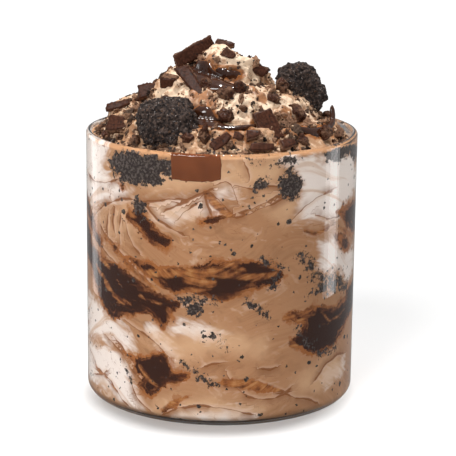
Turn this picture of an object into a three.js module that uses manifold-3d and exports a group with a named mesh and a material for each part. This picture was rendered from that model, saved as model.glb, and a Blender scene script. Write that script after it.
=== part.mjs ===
// A blended ice cream dessert, built together with the straight tumbler that holds it.
// Chocolate ice cream fills the glass to the rim and stands above it as one spiral mound with a curled
// peak; fudge lies in its folds, and cookie chunks, chocolate shards and crumbs lie on it.
// Millimetres, +Z up. The origin is the middle of the glass's underside, and the shown side faces -Y.
import * as THREE from 'three';
import { mergeVertices } from 'three/addons/utils/BufferGeometryUtils.js';
import Module from 'manifold-3d';

const wasm = await Module();
wasm.setup();

// Driving dimensions.
const GLASS_RADIUS = 45;
const GLASS_HEIGHT = 88.9;
const WALL = 2.0;
const BASE = 2.0;
const CORNER_RADIUS = 3.0;
const PUSH_UP = 0.4;
const PUSH_UP_RADIUS = 30;
const CLEARANCE = 0.3;
const PEAK_RISE = 28;
const PEAK_ROUNDING = 3.5;
const CURL_SHIFT = [0.8, -4.2];
const CURL_RADIUS = [3, 12];
const SPIRAL_PITCH = 16;
const FOLD_BULGE = 4.2;
const FOLD_LEAN = 46;
const EDGE_SOFTNESS = 11;

// What follows from them.
const INNER_RADIUS = GLASS_RADIUS - WALL;
const FILL_RADIUS = INNER_RADIUS - CLEARANCE;
const FILL_BOTTOM = BASE + CLEARANCE;
const POCKET = 0.6;
const TURN = 2 * Math.PI;
const UP = new THREE.Vector3(0, 0, 1);

// How finely the round shapes are divided.
const GLASS_SIDES = 60;
const MOUND_SIDES = 66;
const MOUND_RINGS = 19;

const COLOURS = {
  glass: { color: 0xe9eeee, roughness: 0.03, metalness: 0, transparent: true, opacity: 0.25 },
  iceCream: { color: 0xc39a7c, roughness: 0.5, metalness: 0 },
  cookie: { color: 0x241a18, roughness: 0.95, metalness: 0 },
  chocolate: { color: 0x4a2a20, roughness: 0.45, metalness: 0 },
  milkChocolate: { color: 0x7d4a32, roughness: 0.4, metalness: 0 },
};

// ---------------------------------------------------------------------------------------------
// Small helpers
// ---------------------------------------------------------------------------------------------

const radians = THREE.MathUtils.degToRad;
const fraction = (value) => value - Math.floor(value);

// A number from 0 to 1 that depends only on three whole numbers.
const lattice = (i, j, k) => fraction(Math.sin(i * 127.1 + j * 311.7 + k * 74.7) * 43758.5453);

// Smooth noise from -1 to 1, with lumps one unit across.
function noise(x, y, z) {
  const base = [x, y, z].map(Math.floor);
  const blend = [x, y, z].map((value, axis) => THREE.MathUtils.smoothstep(value - base[axis], 0, 1));
  let sum = 0;
  for (const a of [0, 1]) {
    for (const b of [0, 1]) {
      for (const c of [0, 1]) {
        const weight = [a, b, c].reduce((w, far, axis) => w * (far ? blend[axis] : 1 - blend[axis]), 1);
        sum += weight * lattice(base[0] + a, base[1] + b, base[2] + c);
      }
    }
  }
  return 2 * sum - 1;
}

// A repeatable stream of random numbers.
function randomStream(seed) {
  let count = 0;
  return (low = 0, high = 1) => {
    count += 1;
    return low + (high - low) * lattice(seed, count, 17);
  };
}

// A closed surface through rings of points, shut at each end by a fan to one point.
function loft(rings, start, end) {
  const sides = rings[0].length;
  const positions = [start, ...rings.flat(), end].flatMap((point) => point.toArray());
  const ringIndex = (ring, side) => 1 + ring * sides + (side % sides);
  const last = 1 + rings.length * sides;
  const faces = [];
  for (let side = 0; side < sides; side += 1) {
    faces.push(0, ringIndex(0, side + 1), ringIndex(0, side));
    faces.push(last, ringIndex(rings.length - 1, side), ringIndex(rings.length - 1, side + 1));
    for (let ring = 0; ring + 1 < rings.length; ring += 1) {
      const [a, b] = [ringIndex(ring, side), ringIndex(ring, side + 1)];
      const [c, d] = [ringIndex(ring + 1, side), ringIndex(ring + 1, side + 1)];
      faces.push(a, b, d, a, d, c);
    }
  }
  const geometry = new THREE.BufferGeometry();
  geometry.setAttribute('position', new THREE.Float32BufferAttribute(positions, 3));
  geometry.setIndex(faces);
  return geometry;
}

// One shared vertex at each place, with nothing but positions.
function welded(geometry) {
  const bare = geometry.clone();
  bare.deleteAttribute('normal');
  bare.deleteAttribute('uv');
  return mergeVertices(bare, 1e-4);
}

function toSolid(geometry) {
  const bare = welded(geometry);
  const vertProperties = new Float32Array(bare.getAttribute('position').array);
  const triVerts = new Uint32Array(bare.getIndex().array);
  return new wasm.Manifold(new wasm.Mesh({ numProp: 3, vertProperties, triVerts }));
}

function toGeometry(solid) {
  const mesh = solid.getMesh();
  const geometry = new THREE.BufferGeometry();
  geometry.setAttribute('position', new THREE.Float32BufferAttribute(mesh.vertProperties, 3));
  geometry.setIndex([...mesh.triVerts]);
  geometry.computeVertexNormals();
  return geometry;
}

// The largest body of a solid, without loose scraps and sealed hollows.
function mainBody(solid) {
  const bodies = solid.decompose();
  return bodies.reduce((best, body) => (body.volume() > best.volume() ? body : best));
}

function addNode(group, name, geometry, finish) {
  const mesh = new THREE.Mesh(geometry, new THREE.MeshStandardMaterial(finish));
  mesh.name = name;
  group.add(mesh);
  return mesh;
}

// ---------------------------------------------------------------------------------------------
// The tumbler
// ---------------------------------------------------------------------------------------------

function arc(centreRadius, centreHeight, radius, fromDegrees, toDegrees, steps) {
  const points = [];
  for (let step = 0; step <= steps; step += 1) {
    const angle = radians(THREE.MathUtils.lerp(fromDegrees, toDegrees, step / steps));
    const across = centreRadius + radius * Math.cos(angle);
    points.push(new THREE.Vector2(across, centreHeight + radius * Math.sin(angle)));
  }
  return points;
}

// A straight wall with a rounded foot, a shallow push-up under the base and a fire-polished rim.
function tumblerGeometry() {
  const rimRadius = WALL / 2;
  const innerCorner = CORNER_RADIUS - WALL + 0.5;
  const profile = [
    new THREE.Vector2(0, PUSH_UP),
    new THREE.Vector2(PUSH_UP_RADIUS - 4, PUSH_UP),
    new THREE.Vector2(PUSH_UP_RADIUS, 0),
    ...arc(GLASS_RADIUS - CORNER_RADIUS, CORNER_RADIUS, CORNER_RADIUS, -90, 0, 4),
    ...arc(GLASS_RADIUS - rimRadius, GLASS_HEIGHT - rimRadius, rimRadius, 0, 180, 5),
    ...arc(INNER_RADIUS - innerCorner, BASE + innerCorner, innerCorner, 0, -90, 2),
    new THREE.Vector2(0, BASE),
  ];
  const geometry = new THREE.LatheGeometry(profile, GLASS_SIDES);
  geometry.rotateX(Math.PI / 2);
  return welded(geometry);
}

// ---------------------------------------------------------------------------------------------
// The ice cream's mound
// ---------------------------------------------------------------------------------------------

// Height at which the ice cream meets the wall: at the rim in front, a little lower at the right back.
function edgeLevel(angle) {
  const away = Math.atan2(Math.sin(angle - radians(22)), Math.cos(angle - radians(22)));
  return GLASS_HEIGHT - 1.2 - 3.0 * Math.exp(-((away / radians(32)) ** 2));
}

// The mound is a cone wrapped by one spiral fold, which leans outwards and is soft with lumps. Its tip is
// round and curls over towards the front.
function moundPoint(radius, angle) {
  const [x, y] = [radius * Math.cos(angle), radius * Math.sin(angle)];
  const slope = Math.max(0, 1 - Math.hypot(radius, PEAK_ROUNDING) / FILL_RADIUS);
  const base = edgeLevel(angle) + PEAK_RISE * slope ** 1.2;
  const fold = Math.sin(Math.PI * fraction(radius / SPIRAL_PITCH - angle / TURN)) ** 0.65;
  const core = THREE.MathUtils.smoothstep(radius, 1.5, 7);
  const edge = THREE.MathUtils.smoothstep(FILL_RADIUS - radius, 0, EDGE_SOFTNESS);
  const lumps = 1.1 * noise(x / 6.5 + 3.1, y / 6.5 + 1.7, 0.4) + 0.45 * noise(x / 2.9, y / 2.9, 5.2);
  const swell = edge * (FOLD_BULGE * (fold * core + 1 - core) + lumps);
  const lean = radians(FOLD_LEAN) * THREE.MathUtils.smoothstep(radius, 0, 6) * edge;
  const out = radius + swell * Math.sin(lean);
  const curl = 1 - THREE.MathUtils.smoothstep(radius, ...CURL_RADIUS);
  return new THREE.Vector3(
    out * Math.cos(angle) + CURL_SHIFT[0] * curl,
    out * Math.sin(angle) + CURL_SHIFT[1] * curl,
    base + swell * Math.cos(lean),
  );
}

// The highest point of the mound over a place.
function moundTop(x, y) {
  let top = edgeLevel(Math.atan2(y, x));
  const reach = 0.6;
  for (let radius = 0; radius < FILL_RADIUS; radius += 0.4) {
    for (let step = 0; step < 240; step += 1) {
      const point = moundPoint(radius, (step / 240) * TURN);
      if (Math.hypot(point.x - x, point.y - y) < reach) top = Math.max(top, point.z);
    }
  }
  return top;
}

function ring(radius, height) {
  const points = [];
  for (let side = 0; side < MOUND_SIDES; side += 1) {
    const angle = (side / MOUND_SIDES) * TURN;
    points.push(new THREE.Vector3(radius * Math.cos(angle), radius * Math.sin(angle), height));
  }
  return points;
}

function bodyGeometry() {
  const rings = [ring(FILL_RADIUS - 2, FILL_BOTTOM), ring(FILL_RADIUS, FILL_BOTTOM + 2)];
  for (let step = 0; step < MOUND_RINGS; step += 1) {
    const radius = FILL_RADIUS * (1 - step / MOUND_RINGS);
    const turn = (side) => moundPoint(radius, (side / MOUND_SIDES) * TURN);
    rings.push(Array.from({ length: MOUND_SIDES }, (_, side) => turn(side)));
  }
  return loft(rings, new THREE.Vector3(0, 0, FILL_BOTTOM), moundPoint(0, 0));
}

// ---------------------------------------------------------------------------------------------
// Fudge and small crumbs, frozen onto the ice cream
// ---------------------------------------------------------------------------------------------

// Each fudge run follows the mound: [angle in degrees, radius on the mound, half-width, height above the
// mound where that isn't the usual one]. The last one hangs from the chunk of cookie at the right.
const FUDGE_LIFT = 0.5;
const FUDGE_SIDES = 7;
const FUDGE_RUNS = {
  peakPool: [
    [181, 9.2, 1.0], [205, 8.4, 2.4], [225, 9.5, 3.4], [240, 11.5, 3.8],
    [254, 13.5, 3.4], [268, 15.5, 2.6], [282, 16.2, 1.8], [291, 15.8, 0.8],
  ],
  peakPit: [[258, 9.3, 0.7], [268, 10.2, 1.2], [278, 10.8, 1.4], [288, 11.2, 1.2], [296, 11.4, 0.6]],
  frontPool: [
    [249, 24.8, 0.8], [253, 25.6, 2.2], [257, 26.8, 3.2], [261, 28.4, 3.0], [266, 30.2, 2.2],
    [271, 31.4, 1.5], [276, 32, 1.1], [282, 31.6, 1.0], [288, 30.6, 1.0], [293, 28.6, 0.6],
  ],
  rightRun: [
    [312, 32.5, 0.8], [315, 34.6, 1.3], [319, 36.4, 1.5], [325, 37, 1.5], [331, 36.8, 1.4],
    [337, 36.4, 1.4], [342, 36.6, 1.3, 2.2], [345, 36.2, 1.2, 4.4], [347, 35.2, 1.1, 6.6],
  ],
};

// A run of fudge: a flattened strand or pool that thins out at both ends.
function fudgeGeometry(route) {
  const places = route.map(([angle, radius, , lift = FUDGE_LIFT]) =>
    moundPoint(radius, radians(angle)).addScaledVector(UP, lift),
  );
  const path = new THREE.CatmullRomCurve3(places);
  const spans = route.length - 1;
  const steps = 3 * spans;
  const rings = [];
  for (let step = 1; step < steps; step += 1) {
    const knot = Math.floor((step * spans) / steps);
    const half = THREE.MathUtils.lerp(route[knot][2], route[knot + 1][2], (step * spans) / steps - knot);
    const rise = (0.6 * half) / (1 + 0.25 * half);
    const middle = path.getPoint(step / steps);
    const along = path.getTangent(step / steps);
    const across = new THREE.Vector3().crossVectors(UP, along).normalize();
    const above = new THREE.Vector3().crossVectors(along, across);
    rings.push(
      Array.from({ length: FUDGE_SIDES }, (_, side) => {
        const angle = (side / FUDGE_SIDES) * TURN;
        const point = middle.clone().addScaledVector(across, half * Math.cos(angle));
        return point.addScaledVector(above, rise * Math.sin(angle));
      }),
    );
  }
  return loft(rings, places[0], places[spans]);
}

// A lumpy grain with flat facets, larger grains with more of them.
function grainGeometry(size, seed, detail = 0) {
  const grain = welded(new THREE.IcosahedronGeometry(0.5, detail));
  const corners = grain.getAttribute('position');
  const random = randomStream(seed);
  for (let index = 0; index < corners.count; index += 1) {
    const stretch = random(0.78, 1.15);
    const corner = [corners.getX(index), corners.getY(index), corners.getZ(index)];
    corners.setXYZ(index, ...corner.map((value, axis) => value * stretch * size[axis]));
  }
  return grain;
}

// Nubs and crumbs that are seen one by one: [x, y, size across, size front to back, height].
const SMALL_PIECES = [
  [0.8, -22.9, 4.2, 4, 4.4],
  [5.4, -20, 3.4, 3.2, 5],
  [-5.2, -17.8, 3.4, 3.2, 3.6],
  [6.6, -25.8, 3.2, 2.2, 1.8],
  [16.6, -19.4, 4.4, 3, 3],
  [-39, -7.5, 2.8, 2.4, 1.8],
  [-38, -13.5, 3, 2.6, 2.6],
  [-26.8, -29, 3.4, 3, 2.6],
  [-27.8, -1, 3.4, 2.6, 2],
  [-11, -37, 4, 3.6, 4],
  [-5.6, -37.4, 4.2, 3.6, 5],
  [33, -21.4, 4.4, 4, 4.6],
  [26, -29.5, 3.2, 3, 3.4],
  [37.4, -13.6, 2.8, 2.6, 2.6],
  [34.4, 2, 3, 2.6, 3.6],
  [13.6, -3, 3.2, 2.6, 2.4],
  [8.6, -1, 3, 2.4, 2.2],
  [-18.4, -15.6, 2.6, 2.2, 2.2],
];

// The scattered crumbs thin out towards the peak and take the places that the larger pieces leave.
const CRUMB_COUNT = 52;
const CRUMB_SIZE = [1.5, 3.2];
const CRUMB_RADIUS = [6, 39];
const CRUMB_SPACING = 3.4;

function crumbPlaces(taken) {
  const random = randomStream(5);
  const places = [];
  for (let tries = 0; places.length < CRUMB_COUNT && tries < 4000; tries += 1) {
    const reach = Math.sqrt(random());
    const radius = THREE.MathUtils.lerp(CRUMB_RADIUS[0], CRUMB_RADIUS[1], reach);
    const angle = random(0, TURN);
    const point = moundPoint(radius, angle);
    const size = CRUMB_SIZE[1] - (CRUMB_SIZE[1] - CRUMB_SIZE[0]) * (places.length / CRUMB_COUNT);
    const free = taken.every((piece) => piece.point.distanceTo(point) > piece.reach + size / 2 + 0.6);
    const spaced = places.every((place) => place.point.distanceTo(point) > CRUMB_SPACING);
    if (free && spaced && Math.hypot(point.x, point.y) < FILL_RADIUS - 2) places.push({ point, size });
  }
  return places;
}

// ---------------------------------------------------------------------------------------------
// Toppings large enough to be pieces of their own
// ---------------------------------------------------------------------------------------------

// A flat piece with a given outline and one bevelled edge on each face.
function flatPiece(corners, thickness) {
  const outline = new THREE.Shape(corners.map(([x, y]) => new THREE.Vector2(x, y)));
  const bevel = Math.min(0.4, thickness / 4);
  const depth = thickness - 2 * bevel;
  const options = { depth, bevelEnabled: true, bevelThickness: bevel, bevelSize: bevel, bevelOffset: -bevel };
  const geometry = new THREE.ExtrudeGeometry(outline, { ...options, bevelSegments: 1, steps: 1 });
  geometry.translate(0, 0, -depth / 2);
  return welded(geometry);
}

// A flake or block of chocolate, with a skewed, snapped outline.
function shardGeometry([length, width, thickness], seed) {
  const random = randomStream(seed);
  const [endX, endY] = [length / 2, width / 2];
  const corners = [
    [-endX, random(-1, -0.5) * endY],
    [random(-0.2, 0.3) * endX, -endY],
    [random(0.8, 1) * endX, random(-0.9, -0.5) * endY],
    [endX, random(0.1, 0.8) * endY],
    [random(-0.4, 0.1) * endX, random(0.85, 1) * endY],
    [random(-0.9, -0.7) * endX, endY],
  ];
  return flatPiece(corners, thickness);
}

// A slab snapped off nearly square.
function slabGeometry([length, width, thickness]) {
  const [endX, endY] = [length / 2, width / 2];
  const shares = [[-1, 1], [-0.97, -0.9], [-0.3, -1], [0.6, -0.94], [0.97, -0.78], [1, 0.4], [0.95, 1]];
  return flatPiece(shares.map(([x, y]) => [x * endX, y * endY]), thickness);
}

// A chunk of dark cookie with the crags of a crumbly break all over it. A fullness of 0 gives an egg, and a
// larger one fills out its corners, like a rounded block.
function chunkGeometry([length, width, height], seed, fullness) {
  const chunk = welded(new THREE.IcosahedronGeometry(1, 3));
  const corners = chunk.getAttribute('position');
  const corner = new THREE.Vector3();
  for (let index = 0; index < corners.count; index += 1) {
    corner.fromBufferAttribute(corners, index);
    const lobes = 0.10 * noise(1.3 * corner.x + seed, 1.3 * corner.y, 1.3 * corner.z);
    const crags = 0.075 * noise(4.2 * corner.x, 4.2 * corner.y + seed, 4.2 * corner.z);
    const full = 1 / (corner.x ** 4 + corner.y ** 4 + corner.z ** 4) ** fullness;
    corner.multiplyScalar(0.5 * full * (0.97 + lobes + crags));
    corners.setXYZ(index, corner.x * length, corner.y * width, corner.z * height);
  }
  return chunk;
}

// Where the larger pieces lie. Each has its size along its length, its width and its thickness, its middle's
// place across and front to back, how far its middle stands above the mound, and three turns in degrees:
// its spin in its own plane, the tilt that raises its face from lying flat to facing the viewer, and a
// heading about the vertical.
const CHUNKS = [
  {
    name: 'cookie_chunk_left', size: [20.2, 19.8, 13], at: [-17.4, -29.6], lift: -1.2, turn: [12, 80, -14],
    fullness: 0.11,
  },
  {
    name: 'cookie_chunk_right', size: [18, 13.8, 10.5], at: [26.2, -2.6], lift: 2.8, turn: [-62, 90, 12],
    fullness: 0.18,
  },
];
const SHARDS = [
  { name: 'bar_peak_left', size: [15, 5.4, 3], at: [-9.6, 1.6], lift: 3.6, turn: [33, 80, 8] },
  { name: 'bar_peak_top', size: [6.6, 3.2, 2.2], at: [0.6, -1.6], lift: 0.2, turn: [-6, 50, 0] },
  { name: 'flake_peak_front', size: [4.8, 3.4, 1.2], at: [1.9, -10.6], lift: 0.4, turn: [-28, 58, 0] },
  { name: 'flake_peak_right', size: [6.6, 4, 1.5], at: [11.4, -7], lift: -0.4, turn: [-40, 70, 16] },
  { name: 'block_left', size: [6, 4.8, 4], at: [-17, -9.4], lift: 0.2, turn: [0, 18, -10] },
  { name: 'splinter_left', size: [16.4, 4.6, 3], at: [-8.9, -16.6], lift: 0.4, turn: [-45, 66, -12] },
  { name: 'block_lower_left', size: [7.6, 5, 3.8], at: [-24.2, -3], lift: 1.2, turn: [24, 66, -20] },
  { name: 'flake_rim_left', size: [8.8, 3.2, 1.6], at: [-34.2, -7.6], lift: 1.4, turn: [24, 66, -20] },
  { name: 'block_rim_left', size: [8.2, 6, 4.8], at: [-33, -17.4], lift: 0.4, turn: [10, 52, -24] },
  { name: 'flake_front', size: [11.4, 7, 2.2], at: [14.4, -31.8], lift: 0.1, turn: [-62, 62, 6] },
  { name: 'flake_rim_front', size: [7.6, 4, 1.4], at: [-0.5, -38.6], lift: 0, turn: [48, 62, 0] },
  { name: 'flake_rim_middle', size: [3.4, 2.8, 1.2], at: [5.1, -36.8], lift: -0.4, turn: [-8, 60, 0] },
  { name: 'block_rim_front', size: [4.8, 3.4, 2.8], at: [9.6, -36.5], lift: 0.2, turn: [12, 50, 5] },
  { name: 'flake_rim_right', size: [8.4, 3, 1.4], at: [12.4, -39.0], lift: 1.5, turn: [0, 52, 17] },
  { name: 'block_rim_right', size: [6, 3.4, 2.6], at: [20.6, -34.4], lift: 0.7, turn: [8, 40, 28] },
];
const NUBS = [
  { name: 'nub_front', size: [6.2, 5, 5], at: [1.2, -28.2], lift: 0.4, turn: [0, 0, 0] },
  { name: 'nub_right', size: [8, 4.6, 4.4], at: [24.2, -18.2], lift: 0.2, turn: [-55, 70, 0] },
  { name: 'nub_ridge', size: [4.6, 4.2, 5.4], at: [19.4, -10.6], lift: 1.5, turn: [0, 0, 0] },
];

// The far side carries flakes and blocks like those of the shown side, spread round it by a rule.
const BACK_COUNT = 8;
const BACK_ANGLES = [30, 156];
const BACK_RADII = [33, 20, 27];

function backPieces() {
  const random = randomStream(3);
  return Array.from({ length: BACK_COUNT }, (_, index) => {
    const degrees = THREE.MathUtils.lerp(...BACK_ANGLES, (index + 0.5) / BACK_COUNT);
    const radius = BACK_RADII[index % BACK_RADII.length];
    const size = [random(6, 10), random(3.8, 5.6), random(1.5, 3)];
    const at = [radius * Math.cos(radians(degrees)), radius * Math.sin(radians(degrees))];
    const turn = [random(-60, 60), random(25, 55), degrees + 90];
    return { name: `flake_back_${index + 1}`, size, at, lift: 0.6, turn };
  });
}

// All of them, each with the function that shapes it and its finish.
function largePieces() {
  const kinds = [
    { pieces: CHUNKS, shape: chunkGeometry, finish: COLOURS.cookie },
    { pieces: SHARDS, shape: shardGeometry, finish: COLOURS.chocolate },
    { pieces: NUBS, shape: (size, seed) => grainGeometry(size, seed, 1), finish: COLOURS.chocolate },
    { pieces: backPieces(), shape: shardGeometry, finish: COLOURS.chocolate },
  ];
  return kinds.flatMap(({ pieces, shape, finish }) => pieces.map((piece) => ({ ...piece, shape, finish })));
}

// Pieces pressed against the inside of the wall: the angle and height of their middle, and their width along
// the wall, their depth into the ice cream and their height. One is a flat-sided slab, the others are lumps.
const WALL_PIECES = [
  { name: 'slab_behind_glass', slab: true, angle: -100.5, z: 84, size: [16, 5, 8.6], finish: 'milkChocolate' },
  { name: 'cookie_behind_glass', angle: -127, z: 80, size: [24, 7, 8.5], finish: 'cookie' },
  { name: 'cookie_behind_glass_right', angle: -59, z: 77.4, size: [8, 5, 8], finish: 'cookie' },
];

// Twice as deep as it shows, because the wall cuts it in half: a snapped slab or a lump.
function wallPieceGeometry({ slab, size: [width, depth, height] }, seed) {
  if (!slab) return grainGeometry([width, 2 * depth, height], seed, 1);
  return slabGeometry([width, height, 2 * depth]).rotateX(Math.PI / 2);
}

function turnedPlace(piece) {
  const [x, y] = piece.at;
  const [spin, tilt, heading] = piece.turn.map(radians);
  const turn = new THREE.Quaternion().setFromAxisAngle(UP, heading);
  turn.multiply(new THREE.Quaternion().setFromAxisAngle(new THREE.Vector3(1, 0, 0), tilt));
  turn.multiply(new THREE.Quaternion().setFromAxisAngle(UP, spin));
  return { position: new THREE.Vector3(x, y, moundTop(x, y) + piece.lift), turn };
}

// The same shape grown by the pocket's clearance on every side.
function grown(geometry, size) {
  const factors = size.map((length) => 1 + (2 * POCKET) / length);
  return geometry.clone().scale(...factors);
}

// ---------------------------------------------------------------------------------------------
// Assembly
// ---------------------------------------------------------------------------------------------

const dessert = new THREE.Group();
addNode(dessert, 'glass', tumblerGeometry(), COLOURS.glass);

const pockets = [];
const taken = [];
largePieces().forEach((piece, index) => {
  const geometry = piece.shape(piece.size, index + 1, piece.fullness);
  const { position, turn } = turnedPlace(piece);
  const mesh = addNode(dessert, piece.name, geometry, piece.finish);
  mesh.position.copy(position);
  mesh.quaternion.copy(turn);
  mesh.updateMatrix();
  pockets.push(toSolid(grown(geometry, piece.size).applyMatrix4(mesh.matrix)));
  taken.push({ point: position, reach: Math.max(...piece.size) / 2 });
});

const fillRings = [FILL_BOTTOM, GLASS_HEIGHT].map((height) => ring(FILL_RADIUS, height));
const fillEnds = [FILL_BOTTOM, GLASS_HEIGHT].map((height) => new THREE.Vector3(0, 0, height));
const fillCylinder = toSolid(loft(fillRings, ...fillEnds));
WALL_PIECES.forEach((piece, index) => {
  const geometry = wallPieceGeometry(piece, 40 + index);
  const angle = radians(piece.angle);
  const place = new THREE.Matrix4().makeRotationZ(angle + Math.PI / 2);
  place.setPosition(FILL_RADIUS * Math.cos(angle), FILL_RADIUS * Math.sin(angle), piece.z);
  const pocket = grown(geometry, piece.size).applyMatrix4(place);
  pockets.push(toSolid(pocket));
  const pressed = toSolid(geometry.applyMatrix4(place)).intersect(fillCylinder);
  addNode(dessert, piece.name, toGeometry(mainBody(pressed)), COLOURS[piece.finish]);
});

let iceCream = toSolid(bodyGeometry());
for (const run of Object.values(FUDGE_RUNS)) iceCream = iceCream.add(toSolid(fudgeGeometry(run)));
SMALL_PIECES.forEach(([x, y, ...size], index) => {
  const grain = grainGeometry(size, 60 + index, 0);
  grain.translate(x, y, moundTop(x, y) + 0.2 * size[2]);
  iceCream = iceCream.add(toSolid(grain));
});
crumbPlaces(taken).forEach(({ point, size }, index) => {
  const grain = grainGeometry([size, 0.9 * size, 0.8 * size], 100 + index);
  grain.translate(point.x, point.y, point.z + 0.1 * size);
  iceCream = iceCream.add(toSolid(grain));
});
for (const pocket of pockets) iceCream = iceCream.subtract(pocket);
addNode(dessert, 'ice_cream', toGeometry(mainBody(iceCream)), COLOURS.iceCream);

export default dessert;
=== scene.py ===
"""A blended ice cream dessert in its straight tumbler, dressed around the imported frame.

Sizes are in millimetres where a name or a note says so, and Blender's own metres elsewhere.
Angles round the glass are in degrees from +X, so the shown side is at -90.
"""

import math

import bmesh
import bpy
import numpy as np
from bpy.props import FloatProperty, FloatVectorProperty, IntProperty, PointerProperty
from mathutils import Matrix, Vector


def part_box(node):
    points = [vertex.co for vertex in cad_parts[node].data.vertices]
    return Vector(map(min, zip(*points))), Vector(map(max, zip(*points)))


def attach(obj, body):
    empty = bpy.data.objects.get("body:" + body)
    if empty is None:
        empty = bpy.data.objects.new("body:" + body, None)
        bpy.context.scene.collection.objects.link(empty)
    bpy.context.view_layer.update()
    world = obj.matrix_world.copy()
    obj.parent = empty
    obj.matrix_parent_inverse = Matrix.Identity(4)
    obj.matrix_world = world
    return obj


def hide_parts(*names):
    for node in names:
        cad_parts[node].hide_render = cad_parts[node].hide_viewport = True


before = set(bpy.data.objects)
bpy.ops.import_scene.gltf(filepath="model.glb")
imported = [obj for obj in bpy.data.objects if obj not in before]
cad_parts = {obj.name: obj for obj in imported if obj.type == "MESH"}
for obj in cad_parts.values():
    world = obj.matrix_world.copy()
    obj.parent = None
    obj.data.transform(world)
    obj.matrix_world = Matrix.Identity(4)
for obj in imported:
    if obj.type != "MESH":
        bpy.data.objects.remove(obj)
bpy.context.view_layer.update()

bl_info = {
    "name": "Blended ice cream dessert",
    "version": (1, 0, 0),
    "blender": (4, 5, 0),
    "location": "View3D > Sidebar > Dessert",
    "description": "Builds a blended ice cream dessert in a straight tumbler",
    "category": "Add Mesh",
}

MM = 0.001
TURN = 2 * math.pi
BODY = "root"

# Sizes that come from the frame, in millimetres.
GLASS_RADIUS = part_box("glass")[1].x / MM
GLASS_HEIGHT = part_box("glass")[1].z / MM
WALL = 2.0
BASE = 2.0
INNER_RADIUS = GLASS_RADIUS - WALL
FILL_RADIUS = INNER_RADIUS - 0.3
CONTACT = 0.2
CONTACT_RADIUS = INNER_RADIUS + CONTACT
GIRTH = TURN * CONTACT_RADIUS
FILL_CORNER = 1.7

# The mound's form, the same as in the frame's solid, in millimetres and degrees.
PEAK_RISE = 28.0
PEAK_ROUNDING = 3.5
CURL_SHIFT = (0.8, -4.2)
CURL_RADIUS = (3.0, 12.0)
SPIRAL_PITCH = 16.0
FOLD_BULGE = 4.2
FOLD_LEAN = 46.0
EDGE_SOFTNESS = 11.0
EDGE_BELOW_RIM = 1.2
# The ice cream's edge dips here, at the right back.
DIP_DEPTH = 3.0
DIP_ANGLE = math.radians(22)
DIP_WIDTH = math.radians(32)


# ---------------------------------------------------------------------------------------------
# Numbers: noise, smooth steps and distances, all on whole arrays
# ---------------------------------------------------------------------------------------------

def smooth(low, high, value):
    """0 below low, 1 above high, and smooth in between."""
    share = np.clip((value - low) / (high - low), 0, 1)
    return share * share * (3 - 2 * share)


def lattice(i, j, k):
    """A number from 0 to 1 that depends only on three whole numbers."""
    wave = np.sin(i * 127.1 + j * 311.7 + k * 74.7) * 43758.5453
    return wave - np.floor(wave)


def noise(x, y, z):
    """Smooth noise from -1 to 1, with lumps one unit across."""
    x, y, z = np.broadcast_arrays(*[np.asarray(v, float) for v in (x, y, z)])
    cell = [np.floor(v) for v in (x, y, z)]
    blend = [smooth(0, 1, v - c) for v, c in zip((x, y, z), cell)]
    total = np.zeros(x.shape)
    for a in (0, 1):
        for b in (0, 1):
            for c in (0, 1):
                weight = np.ones(x.shape)
                for far, share in zip((a, b, c), blend):
                    weight = weight * (share if far else 1 - share)
                total += weight * lattice(cell[0] + a, cell[1] + b, cell[2] + c)
    return 2 * total - 1


def noise_at(points, size, shift=0.0):
    """Noise at an array of points, with lumps of the given size."""
    return noise(*(points.T / size + shift))


def round_to(across, middle):
    """Places round the wall, counted so that they lie within half a turn of the middle."""
    return (across - middle + GIRTH / 2) % GIRTH - GIRTH / 2 + middle


def to_segment(across, up, start, end):
    """How far places are from a segment, at what share of it they are nearest, and the side they are on.

    The side is above 0 on the left as one follows the segment."""
    span, rise = end[0] - start[0], end[1] - start[1]
    along, above = across - start[0], up - start[1]
    share = np.clip((along * span + above * rise) / (span**2 + rise**2 + 1e-9), 0, 1)
    return np.hypot(along - share * span, above - share * rise), share, span * above - rise * along


def stroke_depth(across, up, strokes):
    """How deep each place on the wall lies inside the nearest stroke: its half-width less the distance.

    A stroke is a list of (across, up, half-width)."""
    best = np.full(np.shape(across), -99.0)
    for stroke in strokes:
        for start, end in zip(stroke, stroke[1:]):
            away, share, _ = to_segment(round_to(across, (start[0] + end[0]) / 2), up, start, end)
            best = np.maximum(best, start[2] + share * (end[2] - start[2]) - away)
    return best


def patch_depth(across, up, patches):
    """How deep each place on the wall lies inside the nearest closed outline; outside is negative."""
    best = np.full(np.shape(across), -99.0)
    for patch in patches:
        placed = round_to(across, sum(a for a, _ in patch) / len(patch))
        away = np.full(np.shape(across), 99.0)
        inside = np.zeros(np.shape(across), bool)
        for start, end in zip(patch, patch[1:] + patch[:1]):
            away = np.minimum(away, to_segment(placed, up, start, end)[0])
            span, rise = end[0] - start[0], end[1] - start[1]
            crosses = (start[1] > up) != (end[1] > up)
            inside ^= crosses & (placed < start[0] + span * (up - start[1]) / (rise + 1e-9))
        best = np.maximum(best, np.where(inside, away, -away))
    return best


# ---------------------------------------------------------------------------------------------
# The mound
# ---------------------------------------------------------------------------------------------

def edge_level(angle):
    """Height at which the ice cream meets the wall, a little lower at the right back."""
    away = np.angle(np.exp(1j * (angle - DIP_ANGLE)))
    return GLASS_HEIGHT - EDGE_BELOW_RIM - DIP_DEPTH * np.exp(-((away / DIP_WIDTH) ** 2))


def fold_height(radius, angle):
    """0 in the groove of the spiral fold and 1 on its crown."""
    turns = radius / SPIRAL_PITCH - (angle / TURN) % 1.0
    return np.abs(np.sin(np.pi * (turns - np.floor(turns)))) ** 0.65


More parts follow.
